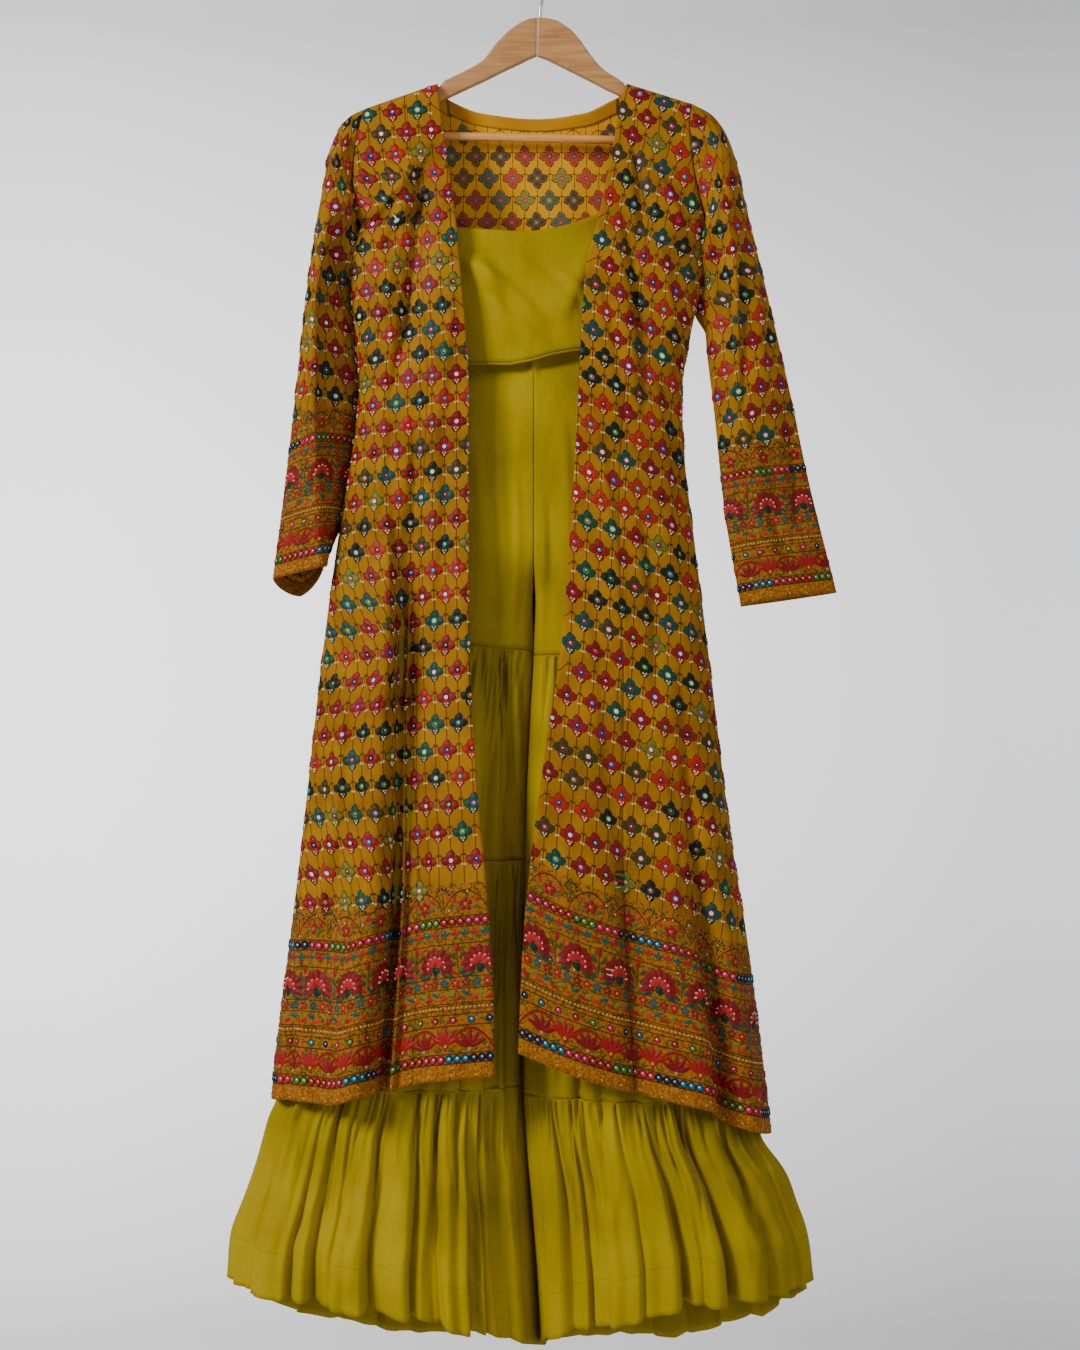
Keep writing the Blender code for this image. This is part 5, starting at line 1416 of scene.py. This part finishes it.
def drawFlower(shape, tone):
    addPetals(shape, tone, 8.5, 8.2, 5.5, 1.1, 5, 0, 1)
    addRing(shape, tone, 0, 0, 3.7, 2.3, 1.1, 2, 3, sides=9)
    # a small pale patch on the mirror, in the sequins' pearl: a painted glint
    addPatch(shape, tone, -0.4, -0.5, 0, 2.0, 2.0, 0.85, 4, 4, sides=5, finish=1, low=0.75)
    for x, y in ((-1.5, 6.6), (1.5, 6.6), (0.0, 8.9)):
        addRing(shape, tone, x, y, 1.35, 0.5, 1.2, 4, sides=5, finish=2)


def drawFlowerBack(shape, tone):
    addPetals(shape, tone, 8.6, 8.4, 5.8, 0.4, 4, 0, 1)
    addRing(shape, tone, 0, 0, 3.4, 2.0, 0.4, 2, 3, sides=8, floorFinish=0)


def drawPair(shape, tone):
    for x in (-1.5, 1.5):
        addRing(shape, tone, x, 0, 1.3, 0.5, 0.6, 0, sides=6, finish=2)


def drawTicks(shape, tone):
    for side in (-1, 1):
        addPatch(shape, tone, side * 1.3, 0, side * 0.8, 1.1, 3.0, 0.4, 0, 0, sides=5, point=0.4)


def drawMirror(shape, tone):
    addRing(shape, tone, 0, 0, 4.2, 2.7, 1.0, 0, 1)
    # a small pale patch on the glass, in the third tone: a painted glint
    addPatch(shape, tone, -0.5, -0.6, 0, 2.2, 2.2, 0.85, 2, 2, sides=5, finish=1, low=0.75)


def drawBead(shape, tone):
    addPatch(shape, tone, 0, 0, 0, 2.6, 2.6, 1.3, 0, 0, sides=6, finish=2)


def drawSequin(shape, tone):
    addRing(shape, tone, 0, 0, 1.2, 0.45, 0.5, 0, sides=6, finish=2)


def drawLeaf(shape, tone):
    addPatch(shape, tone, 0, 0, 0, 3.4, 7.0, 0.7, 0, 1, sides=7, point=0.5)


def drawSmallFlower(shape, tone):
    addFan(shape, tone, 5, 0, 0.8 * math.tau, 2.5, 3.2, 3.6, 0.7, 0, 0, sides=6)
    addPatch(shape, tone, 0, 0, 0, 2.4, 2.4, 1.0, 1, 1, sides=6)


def drawTinyFlower(shape, tone):
    addFan(shape, tone, 3, -1, 1, 2.2, 2.6, 4.6, 0.6, 0, 0, sides=6, point=0.4)
    addPatch(shape, tone, 0, 1.2, 0, 2.6, 2.2, 0.7, 1, 1, sides=6)


# A fan of petals on a small cup, ringed with sequins
def drawBoota(shape, tone):
    addFan(shape, tone, 9, -1.95, 1.95, 8.4, 7.0, 9.4, 1.0, 0, 1, point=0.1, lows=(0.15, 0.25))
    addFan(shape, tone, 5, -1.3, 1.3, 4.4, 4.4, 6.0, 1.5, 2, 2, sides=7, point=0.1, lows=(0.9,))
    addPatch(shape, tone, 0, 2.6, math.pi, 7.0, 5.4, 1.0, 3, 3, sides=7, point=0.5)
    for turn in np.linspace(-1.7, 1.7, 7):
        addRing(shape, tone, 6.6 * math.sin(turn), -6.6 * math.cos(turn), 1.0, 0.4, 1.5, 4,
                sides=5, finish=2)
    for side in (-1, 1):
        addPatch(shape, tone, side * 8.0, 6.2, side * 2.0, 4.4, 9.0, 0.8, 3, 5, sides=7, point=0.4)


# A sprig between two fans: a bud over paired leaves
def drawFoliage(shape, tone):
    for x, y, turn, width, length, colour in (
            (0, -11.0, 0.0, 4.6, 7.5, 0), (-3.6, -4.6, -0.7, 3.2, 7.0, 1),
            (3.6, -4.6, 0.7, 3.2, 7.0, 1), (-4.4, 2.2, -0.9, 3.4, 7.0, 2),
            (4.4, 2.2, 0.9, 3.4, 7.0, 3), (-3.6, 9.0, -0.8, 3.2, 6.4, 3),
            (3.6, 9.0, 0.8, 3.2, 6.4, 2), (0, 0, 0.0, 1.2, 22.0, 1)):
        addPatch(shape, tone, x, y, turn, width, length, 0.7, colour, colour, sides=6, point=0.3)


def drawLotus(shape, tone):
    addFan(shape, tone, 5, -1.15, 1.15, 5.2, 4.0, 10.4, 0.8, 0, 1, sides=7, point=0.45)
    addRing(shape, tone, 0, 1.6, 1.2, 0.45, 0.6, 2, sides=6, finish=2)


def drawSprig(shape, tone):
    addPatch(shape, tone, 0, 4.0, 0, 1.0, 14.0, 0.5, 0, 0, sides=5)
    addFan(shape, tone, 7, -1.5, 1.5, 6.2, 2.2, 3.4, 0.7, 0, 0, sides=5, foot=-2.0)


def drawDash(shape, tone):
    addPatch(shape, tone, 0, 0, 1.35, 1.6, 6.4, 0.5, 0, 0, sides=6, point=0.4)


motifs = {draw.__name__[4:]: motif(draw.__name__[4:] + "Motif", draw)
          for draw in (drawFlower, drawFlowerBack, drawPair, drawTicks, drawMirror, drawBead,
                       drawSequin, drawLeaf, drawSmallFlower, drawTinyFlower, drawBoota,
                       drawFoliage, drawLotus, drawSprig, drawDash)}

# Colour ways of the flowers: petal edge, petal middle, ring round the mirror, outline
colourWays = [
    ("780400", "A40A02", "060A24", "2A0604"),
    ("780400", "AC0C04", "060A24", "2A0604"),
    ("6A0408", "900812", "A0081C", "2A0604"),
    ("800402", "A80C06", "1A2E5C", "2A0604"),
    ("A01404", "BC2006", "04486C", "4A0A06"),
    ("A01808", "C02A0C", "880418", "4A0A06"),
    ("02382E", "044E40", "5C9430", "04140C"),
    ("023A36", "05584C", "8C0C24", "04140C"),
    ("080E08", "141E10", "1E6424", "020402"),
    ("0A0C08", "1C2012", "3C6C34", "020402"),
    ("2C2E06", "484406", "A40834", "101204"),
    ("5C6412", "7C7C1C", "9C1434", "20240A"),
    ("860612", "A8081E", "0A3C7C", "2A0604"),
]
# Painted reflections: what the mirrors show, mostly dim surroundings, here and there a light
paintedReflectionTones = ("C8D0D8", "3C78B4", "B42858", "28344C", "E8ECF0", "5C9440", "1C2434")
# The sequins' pearl, which is also the painted glint on each flower's mirror, and pale gold
pearlAndPaintedGlint, paleGold = "F4DFB8", "D8A24C"
# Groups of mirrors: the ring's thread, the glass's colour, which is a painted reflection, and its
# painted glint
groupTones = (("060A28", "101C4C", "C8D4E8"), ("023C48", "0A6C8C", "D8F0F4"),
              ("7C0424", "B40C48", "F4C0D0"), ("6C0408", "A01018", "F0B0B0"),
              ("1E440C", "4C7C24", "D0E8B0"), ("8C0828", "C8144C", "F8C8D8"))


def colourRow(*hexes):
    return np.array([linear(colour) for colour in hexes])


# A thread colour as it shows on the reverse, mixed with the pale bobbin thread
def muted(colour, share):
    bobbin = np.array(linear("DCA070"))
    return np.array(linear(colour)) * (1 - share) + bobbin * share


# Collects copies of motifs for one panel and makes one piece of them
class Sewing:
    def __init__(self, name, grid, inside=False, scale=1.0):
        self.name, self.grid, self.inside, self.scale = name, grid, inside, scale
        self.copies = []

    def add(self, kind, along, level, tones, turn=0.0, size=1.0, fromHem=False):
        self.copies.append((kind, along, level, tones, turn, size, fromHem))

    def finish(self):
        shape = bmesh.new()
        along, level, out, fromHem, colours, numbers = [], [], [], [], [], []
        for kind, at, height, tones, turn, size, hemward in self.copies:
            source = motifs[kind]
            shape.from_mesh(source["mesh"])
            x, y = source["places"][:, 0] * size, source["places"][:, 1] * size
            c, s = math.cos(turn), math.sin(turn)
            along.append(at + x * c - y * s)
            level.append(height + (x * s + y * c) * (-1 if hemward else 1))
            out.append(source["places"][:, 2] * size)
            fromHem.append(np.full(len(x), hemward))
            numbers.append(np.full(len(x), len(numbers)))
            colours.append(tones[source["tones"]])
        along, level, out = (np.concatenate(v) for v in (along, level, out))
        fromHem, numbers = np.concatenate(fromHem), np.concatenate(numbers)
        i, j = np.zeros(len(along)), np.zeros(len(along))
        for hemward, names in ((False, ("u", "v")), (True, ("across", "hem"))):
            chosen = fromHem == hemward
            if chosen.any():
                i[chosen], j[chosen] = locate(self.grid, along[chosen], level[chosen], names,
                                              numbers[chosen])
        points, normals = bilinear(self.grid["points"], i, j), bilinear(self.grid["normals"], i, j)
        normals /= np.linalg.norm(normals, axis=1, keepdims=True)
        lift = -(self.grid["wall"] + out) if self.inside else out
        places = points + normals * (lift * mm)[:, None]
        if (self.grid["sign"] < 0) != self.inside:
            bmesh.ops.reverse_faces(shape, faces=shape.faces[:])
        mesh = bpy.data.meshes.new(self.name)
        shape.to_mesh(mesh)
        shape.free()
        mesh.vertices.foreach_set("co", places.astype(np.float32).ravel())
        tone = mesh.color_attributes.new(name="tone", type="FLOAT_COLOR", domain="CORNER")
        tone.data.foreach_set("color", np.concatenate(colours).astype(np.float32).ravel())
        mesh.update()
        piece = addObject(self.name, mesh, ("thread", "mirror", "sequin"))
        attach(piece, "root")
        print("%s: %d motifs, %d faces" % (self.name, len(self.copies), len(mesh.polygons)))


# The cloth's width at a height above its hem, along its middle
def clothWidth(grid, level):
    middle = grid["hem"][:, grid["across"].shape[1] // 2]
    order = np.argsort(middle)
    return float(np.interp(level, middle[order], grid["across"][order, -1]))


# How far a flower may lie off the cloth, how far down the reverse is sewn, and how the pairs of
# sequins grow more frequent down the jacket
latticeLooks = {"off": 1.5, "reverseDown": 560.0, "pairs": 0.25, "pairsDown": 260.0}


# Rows of flowers in half-drop, with their sequins, on the straight grain
def sewLattice(sewing, dice, reverse=False, top=3.0):
    grid = sewing.grid
    columns = np.arange(math.floor(grid["u"].min() / columnStep), grid["u"].max() / columnStep)
    first, last = (v * (rowShare - rowGrowth * v) for v in (grid["v"].min(), grid["v"].max()))
    rows = np.arange(math.floor(first), last)
    column, row = (part.ravel().astype(int) for part in np.meshgrid(columns, rows))
    level = (rowShare - np.sqrt(rowShare**2 - 4 * rowGrowth * row)) / (2 * rowGrowth)
    along = column * columnStep
    i, j = locate(grid, along, level, ("u", "v"))
    off = np.hypot(bilinear(grid["u"], i, j) - along, bilinear(grid["v"], i, j) - level)
    hem, down = bilinear(grid["hem"], i, j), bilinear(grid["down"], i, j)
    count = grid["points"].shape[1] - 1
    looks = latticeLooks
    kept = (off < looks["off"]) & (hem > (borderTop - 2) * sewing.scale) & (down > top)
    if reverse:
        kept &= down < looks["reverseDown"]
    if grid["tube"]:
        kept &= (j > 0.5) & (j < count - 0.5)
    for k in np.flatnonzero(kept):
        way = colourWays[dice.randrange(len(colourWays))]
        if (row[k] + column[k]) % 2:
            if not reverse:
                if dice.random() < looks["pairs"] + down[k] / looks["pairsDown"]:
                    sewing.add("Pair", along[k], level[k] + 4.5, colourRow(pearlAndPaintedGlint),
                               turn=dice.uniform(-0.6, 0.6), size=0.85)
                sewing.add("Ticks", along[k], level[k] - 6.0, colourRow("3A1408"))
        elif reverse:
            tones = [muted(colour, share) for colour, share in (
                (way[1], 0.06), (way[1], 0.42), (way[2], 0.1), (way[2], 0.5), ("34140A", 0.05))]
            sewing.add("FlowerBack", along[k], level[k], np.array(tones))
        else:
            # each flower's mirror gets a painted reflection as its colour
            paintedReflection = paintedReflectionTones[dice.randrange(len(paintedReflectionTones))]
            sewing.add("Flower", along[k], level[k], colourRow(*way[:3], paintedReflection, pearlAndPaintedGlint, way[3]),
                       turn=dice.uniform(-0.08, 0.08), size=dice.uniform(0.96, 1.04))


# Mirrors in groups of three of a colour
def mirrorGroups(first):
    tones = groupTones[first:] + groupTones[:first]
    return [[("Mirror", 0.0, three, 0.0, 1.08)] for three in tones for k in range(3)]


# Rows of the border: height above the hem, step, and what is sewn at each place in turn. Each
# motif has its kind, its rise over the row, its colours, its turn and its size.
borderRows = [
    (22.3, 8.6, mirrorGroups(0)),
    (62.2, 9.4, [[sewn] for three, bead in zip(groupTones, ("3C6C1C", "B01838") * 3)
                 for sewn in (("Mirror", 0.0, three, 0.0, 0.92),
                              ("Bead", 0.0, (bead,), 0.0, 1.0))]),
    (75.1, 4.4, [[("Sequin", 0.0, ("E8C080",), 0.0, 0.8)]]),
    (87.0, 8.0, [[("Leaf", rise, (colour, colour), turn, 1.3)] for colour, rise, turn in (
        ("9C0A18", -2.2, 1.95), ("6C7420", 2.2, 1.2), ("B82418", -2.2, 1.95),
        ("04544A", 2.2, 1.2))]),
    (100.4, 11.0, [[("SmallFlower", 0.0, colours, 0.0, 1.25)] for colours in (
        ("9C0A14", "D89010"), ("04544A", "B82418"), ("84080C", "6C7420"))]),
    (124.0, bootaStep / 2, [sewn for petals in (("640204", "8E0606"), ("740404", "86060C"))
                            for sewn in (
        [("Boota", -5.0, (*petals, "B01C24", "042C28", pearlAndPaintedGlint, "4C5C1C"), 0.0, 1.5),
         # the mirror's thread, its painted reflection and its painted glint
         ("Mirror", -9.0, ("04443C", "0A5C70", "C8E0E8"), 0.0, 0.8)],
        [("Foliage", -1.0, ("90080C", "3A4410", "A40C20", "04443C"), 0.0, 1.25)])]),
    (149.0, 10.4, [[("TinyFlower", 0.6, colours, 0.0, 1.35)] for colours in (
        ("04544A", "A40C20"), ("A40C18", "3C6C1C"))]),
    (164.0, 8.6, mirrorGroups(2)),
]
lotusTones = (("6C0402", "900C02", paleGold), ("8C0808", "AC1C10", paleGold))
leafGreens = {"lotus": ("4C5414", "5E6A1C"), "arch": ("4C5C1C", "5E6A1C")}
scatterTones = ("8C0810", "02443A", "3C4410", "A81418", "0A2440", "5C6418")
hemBandTones = ("B07428", "8E5A1C", paleGold)


# The border's motifs, repeated along the cloth
def sewBorder(sewing, dice):
    grid, scale = sewing.grid, sewing.scale

    def put(kind, at, level, hexes, turn=0.0, size=1.0):
        sewing.add(kind, at, level * scale, colourRow(*hexes), turn, size * scale, True)

    # middles of whole repeats, as many as fit at that height
    def along(level, step):
        wide = clothWidth(grid, level * scale)
        count = max(int(wide / (step * scale)), 1)
        return [(k + 0.5) * wide / count for k in range(count)]

    for level, step, turns in borderRows:
        for k, at in enumerate(along(level, step)):
            for kind, rise, hexes, turn, size in turns[k % len(turns)]:
                put(kind, at, level + rise, hexes, turn, size)
    for level in (5.0, 11.5):
        for k, at in enumerate(along(level, 8.0)):
            put("Sequin", at + dice.uniform(-2, 2), level + dice.uniform(-2, 2),
                (hemBandTones[k % 3],), size=dice.uniform(0.8, 1.2))
    # lotuses in the wave, up and down in turn, each with two leaves and two stitches
    step = waveStep / 2 * scale
    for k in range(int(clothWidth(grid, 40 * scale) / step)):
        at, odd = (k + 1) * step, k % 2
        put("Lotus", at, 38.0 if odd else 34.0, lotusTones[odd], size=1.5)
        for side in (-1, 1):
            put("Dash", at + side * 8.0 * scale, 31.0 if odd else 52.0, ("3C4810",), side * 0.3,
                1.2)
            put("Leaf", at + side * 5.0 * scale, 51.0 if odd else 32.0, leafGreens["lotus"],
                side * 1.2, 0.8)
    # a flower under each arch and a sprig between two
    step = bootaStep * scale
    for k in range(int(clothWidth(grid, 185 * scale) / step)):
        at = (k + 0.5) * step
        put("SmallFlower", at, 181.5, ("8C0818", "C87810"), size=1.8)
        for side in (-1, 1):
            put("Leaf", at + side * 8.5 * scale, 178.5, leafGreens["arch"], side * 1.1, 1.2)
            put("Leaf", at + side * 11.5 * scale, 186.0, ("B82418", "9C0A18"), side * 0.6, 1.0)
        put("Sprig", at + step / 2, 190.0, ("042C24",), size=1.1)
    # scattered leaves, buds and sequins fill the rows between
    step = 2.4 * scale
    for k in range(int(clothWidth(grid, 120 * scale) / step)):
        level = dice.choice((dice.uniform(84, 156), dice.uniform(108, 142),
                             dice.uniform(171, 196)))
        at = (k + dice.random()) * step
        if k % 4 == 0:
            put("Sequin", at, level, (pearlAndPaintedGlint,), size=0.8)
        else:
            colour = scatterTones[dice.randrange(len(scatterTones))]
            put("Leaf", at, level, (colour, colour), dice.uniform(-2.4, 2.4),
                dice.uniform(0.55, 0.8))


def makeEmbroidery():
    dice = random.Random(7)
    for key, scale in (("frontLeft", 1.0), ("frontRight", 1.0), ("back", 1.0),
                       ("sleeveLeft", sleeveScale), ("sleeveRight", sleeveScale)):
        name = "jacket" + key[0].upper() + key[1:]
        field = Sewing(name + "Flowers", surfaces[key], scale=scale)
        sewLattice(field, dice)
        field.finish()
        border = Sewing(name + "Border", surfaces[key], scale=scale)
        sewBorder(border, dice)
        border.finish()
    inner = Sewing("jacketBackReverse", surfaces["back"], inside=True)
    sewLattice(inner, random.Random(11), reverse=True, top=28.0)
    inner.finish()


makeEmbroidery()
print("embroidery ready")


# Hanger: the arms' outlines with rounded edges, the bar and the hook
armRows = {
    "left": table("x top bottom", [
        (-3.4, 64.3, 105), (-12, 65.5, 108.5), (-21, 69.5, 113), (-32, 77, 118.2),
        (-40, 84.5, 122), (-48, 93, 126), (-54, 101.5, 129), (-60, 109, 132), (-70, 116, 136.6),
        (-90, 126, 146), (-102, 131.6, 151.6), (-107.5, 138, 154.5), (-112, 140.6, 157),
        (-126, 146.2, 164), (-153.9, 155.9, 177), (-154, 156, 200), (-162, 159, 204),
        (-170, 163, 201), (-174, 172, 190),
    ]),
    "right": table("x top bottom", [
        (-3, 64.3, 105), (8, 64.8, 109), (19, 67.5, 114.5), (33, 77, 121.5), (40, 84.5, 125),
        (45, 91, 127.5), (52, 101, 131), (58, 109, 134), (64, 116, 137.2), (71, 122, 141),
        (84, 130.2, 147), (89.5, 134.2, 149.5), (92, 139, 150.7), (97, 141.8, 152.6),
        (104, 144.3, 155.6), (118, 148.5, 161.5), (137.9, 154.8, 170), (138, 154.9, 206),
        (146, 157.6, 210), (153, 163, 206), (157, 174, 194),
    ]),
}
hangerLooks = {"thickness": 12.0, "edge": 2.5, "edgeSteps": 4, "barRadius": 4.6, "wire": 1.8,
               "ring": 21.0}


# The mesh of a curve, so that the finished piece needs no curve of its own
def curveMesh(name, curve, matrix=Matrix.Identity(4)):
    holder = bpy.data.objects.new(name + "Curve", curve)
    bpy.context.scene.collection.objects.link(holder)
    bpy.context.view_layer.update()
    seen = holder.evaluated_get(bpy.context.evaluated_depsgraph_get())
    mesh = bpy.data.meshes.new_from_object(seen)
    bpy.data.objects.remove(holder, do_unlink=True)
    shape = bmesh.new()
    shape.from_mesh(mesh)
    bmesh.ops.remove_doubles(shape, verts=shape.verts[:], dist=1e-5)
    bmesh.ops.transform(shape, matrix=matrix, verts=shape.verts[:])
    bmesh.ops.recalc_face_normals(shape, faces=shape.faces[:])
    shape.to_mesh(mesh)
    shape.free()
    mesh.shade_smooth()
    mesh.set_sharp_from_angle(angle=math.radians(35))
    return mesh


def drawnCurve(name, points, closed=False, **settings):
    curve = bpy.data.curves.new(name, "CURVE")
    for key, value in settings.items():
        setattr(curve, key, value)
    spline = curve.splines.new("POLY")
    spline.points.add(len(points) - 1)
    for point, place in zip(spline.points, points):
        point.co = (*place, 1)
    spline.use_cyclic_u = closed
    return curve


def finishHard(name, mesh, finish, node):
    piece = addObject(name, mesh, (finish,))
    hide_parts(node)
    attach(piece, "root")
    return piece


def makeHanger():
    looks = hangerLooks
    for side, rows in armRows.items():
        outline = list(zip(rows["x"], rows["top"])) + list(zip(rows["x"], rows["bottom"]))[::-1]
        points = [(x * mm, -drop * mm, 0) for x, drop in outline]
        name = "hangerArm" + side.capitalize()
        curve = drawnCurve(name, points, True, dimensions="2D", fill_mode="BOTH",
                           extrude=(looks["thickness"] / 2 - looks["edge"]) * mm,
                           bevel_depth=looks["edge"] * mm, bevel_resolution=looks["edgeSteps"],
                           offset=-looks["edge"] * mm)
        mesh = curveMesh(name, curve, Matrix.Rotation(math.pi / 2, 4, "X"))
        finishHard(name, mesh, "wood", "hanger_arm_" + side)
    bar = [(x * mm, 0, -drop * mm) for x, drop in ((-153.5, 189.1), (137.6, 195.9))]
    curve = drawnCurve("hangerBarWood", bar, dimensions="3D", use_fill_caps=True,
                       bevel_depth=looks["barRadius"] * mm, bevel_resolution=8)
    finishHard("hangerBarWood", curveMesh("hangerBarWood", curve), "bar", "hanger_bar")
    points = [(0.0, 63.7), (0.05, 60.5), (0.1, 58.0), (0.3, 55.5), (0.7, 53.0), (1.3, 50.2),
              (2.2, 47.5)]
    for degrees in np.linspace(-76, 194, 68):
        turn = math.radians(degrees)
        points.append((looks["ring"] * math.cos(turn),
                       looks["ring"] - looks["wire"] - looks["ring"] * math.sin(turn)))
    wire = [(x * mm, 0, -drop * mm) for x, drop in points]
    curve = drawnCurve("hangerHookWire", wire, dimensions="3D", use_fill_caps=True,
                       bevel_depth=looks["wire"] * mm, bevel_resolution=6)
    finishHard("hangerHookWire", curveMesh("hangerHookWire", curve), "steel",
               "hanger_hook")


makeHanger()
for node in ("crop_top_strap_left", "crop_top_strap_right", "crop_top_hem_piping",
             "sharara_loop_left", "sharara_loop_right"):
    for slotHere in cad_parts[node].material_slots:
        slotHere.material = materials["crepe"]
print("hanger ready")


# Floor, lights and camera, in metres and watts. A light has its power, place and size. The wall
# that the camera sees is brighter than the light that it gives, and brightest on the left.
stageLooks = {
    "floor": ("D6D4D1", "DAD8D6"),
    "paint": {"inputs": {"Roughness": 0.9}, "noises": {"clouds": (333.3, 2.0)}},
    "floorDrop": 1.95,
    "floorRadius": 1.5,
    "world": "DADADA",
    "ambient": 0.5,
    "left": 3.4,
    "right": 1.9,
    "dip": 11.0,
    "lights": {"keyLight": (134.0, (-2.9, -2.3, 0.9), 1.1),
               "fillLight": (20.0, (2.4, -2.2, 0.0), 2.0),
               "backLight": (12.0, (0.6, 2.6, 0.9), 2.0)},
    "aim": (0, 0, -0.7),
}
cameraLooks = {"distance": 3.2, "height": -0.767, "pixels": 1080, "pixelSize": 0.00107,
               "sensor": 36.0}


def makeStage():
    looks = stageLooks
    shape = bmesh.new()
    bmesh.ops.create_circle(shape, cap_ends=True, segments=96, radius=looks["floorRadius"])
    bmesh.ops.translate(shape, vec=Vector((0, 0, -looks["floorDrop"])), verts=shape.verts[:])
    mesh = bpy.data.meshes.new("studioFloor")
    shape.to_mesh(mesh)
    shape.free()
    floor = bpy.data.objects.new("studioFloor", mesh)
    bpy.context.scene.collection.objects.link(floor)
    # Emulsion paint, rolled on the studio's floor: matt and even, with faint broad clouds
    material, shader, add, place, noises = newMaterial("emulsionPaintRolled", looks["paint"])
    finishShader(shader, add("ValToRGB", noises["clouds"], stops=zip((0.2, 0.8), looks["floor"])))
    mesh.materials.append(material)
    floor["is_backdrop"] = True
    world = bpy.data.worlds.new("studio")
    bpy.context.scene.world = world
    world.use_nodes = True
    add = functools.partial(addNode, world.node_tree)
    side = add("SeparateXYZ", add("TexCoord").outputs["Generated"])
    wall = add("MapRange", {"Value": side.outputs["X"], "From Min": -0.15, "From Max": 0.15,
                            "To Min": looks["left"], "To Max": looks["right"]})
    # painted shade on the wall: the camera sees it darker towards its top and bottom
    square = add("Math MULTIPLY", side.outputs["Z"], side.outputs["Z"])
    dip = add("Math MULTIPLY_ADD", square, -looks["dip"], 1.0)
    wall = add("Math MULTIPLY", wall, add("Math MAXIMUM", dip, 0.5))
    strength = add("MapRange", {"Value": add("LightPath"), "To Min": looks["ambient"],
                                "To Max": wall})
    setInputs(world.node_tree.nodes["Background"],
              {"Color": linear(looks["world"]), "Strength": strength})
    for name, (power, place, size) in looks["lights"].items():
        light = bpy.data.lights.new(name, "AREA")
        light.energy, light.size = power, size
        lamp = bpy.data.objects.new(name, light)
        bpy.context.scene.collection.objects.link(lamp)
        lamp.location = place
        aim = Vector(looks["aim"]) - Vector(place)
        lamp.rotation_euler = aim.to_track_quat("-Z", "Y").to_euler()


def makeCamera():
    looks = cameraLooks
    camera = bpy.data.cameras.new("camera")
    camera.sensor_fit = "HORIZONTAL"
    camera.sensor_width = looks["sensor"]
    camera.lens = looks["sensor"] * looks["distance"] / (looks["pixels"] * looks["pixelSize"])
    holder = bpy.data.objects.new("camera", camera)
    bpy.context.scene.collection.objects.link(holder)
    holder.location = (0.0, -looks["distance"], looks["height"])
    holder.rotation_euler = (math.pi / 2, 0, 0)
    bpy.context.scene.camera = holder


makeStage()
makeCamera()
boxes = (("cad", cadBox), ("visual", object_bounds()))
{name: [list(map(float, corner)) for corner in box] for name, box in boxes}
print("scene ready")
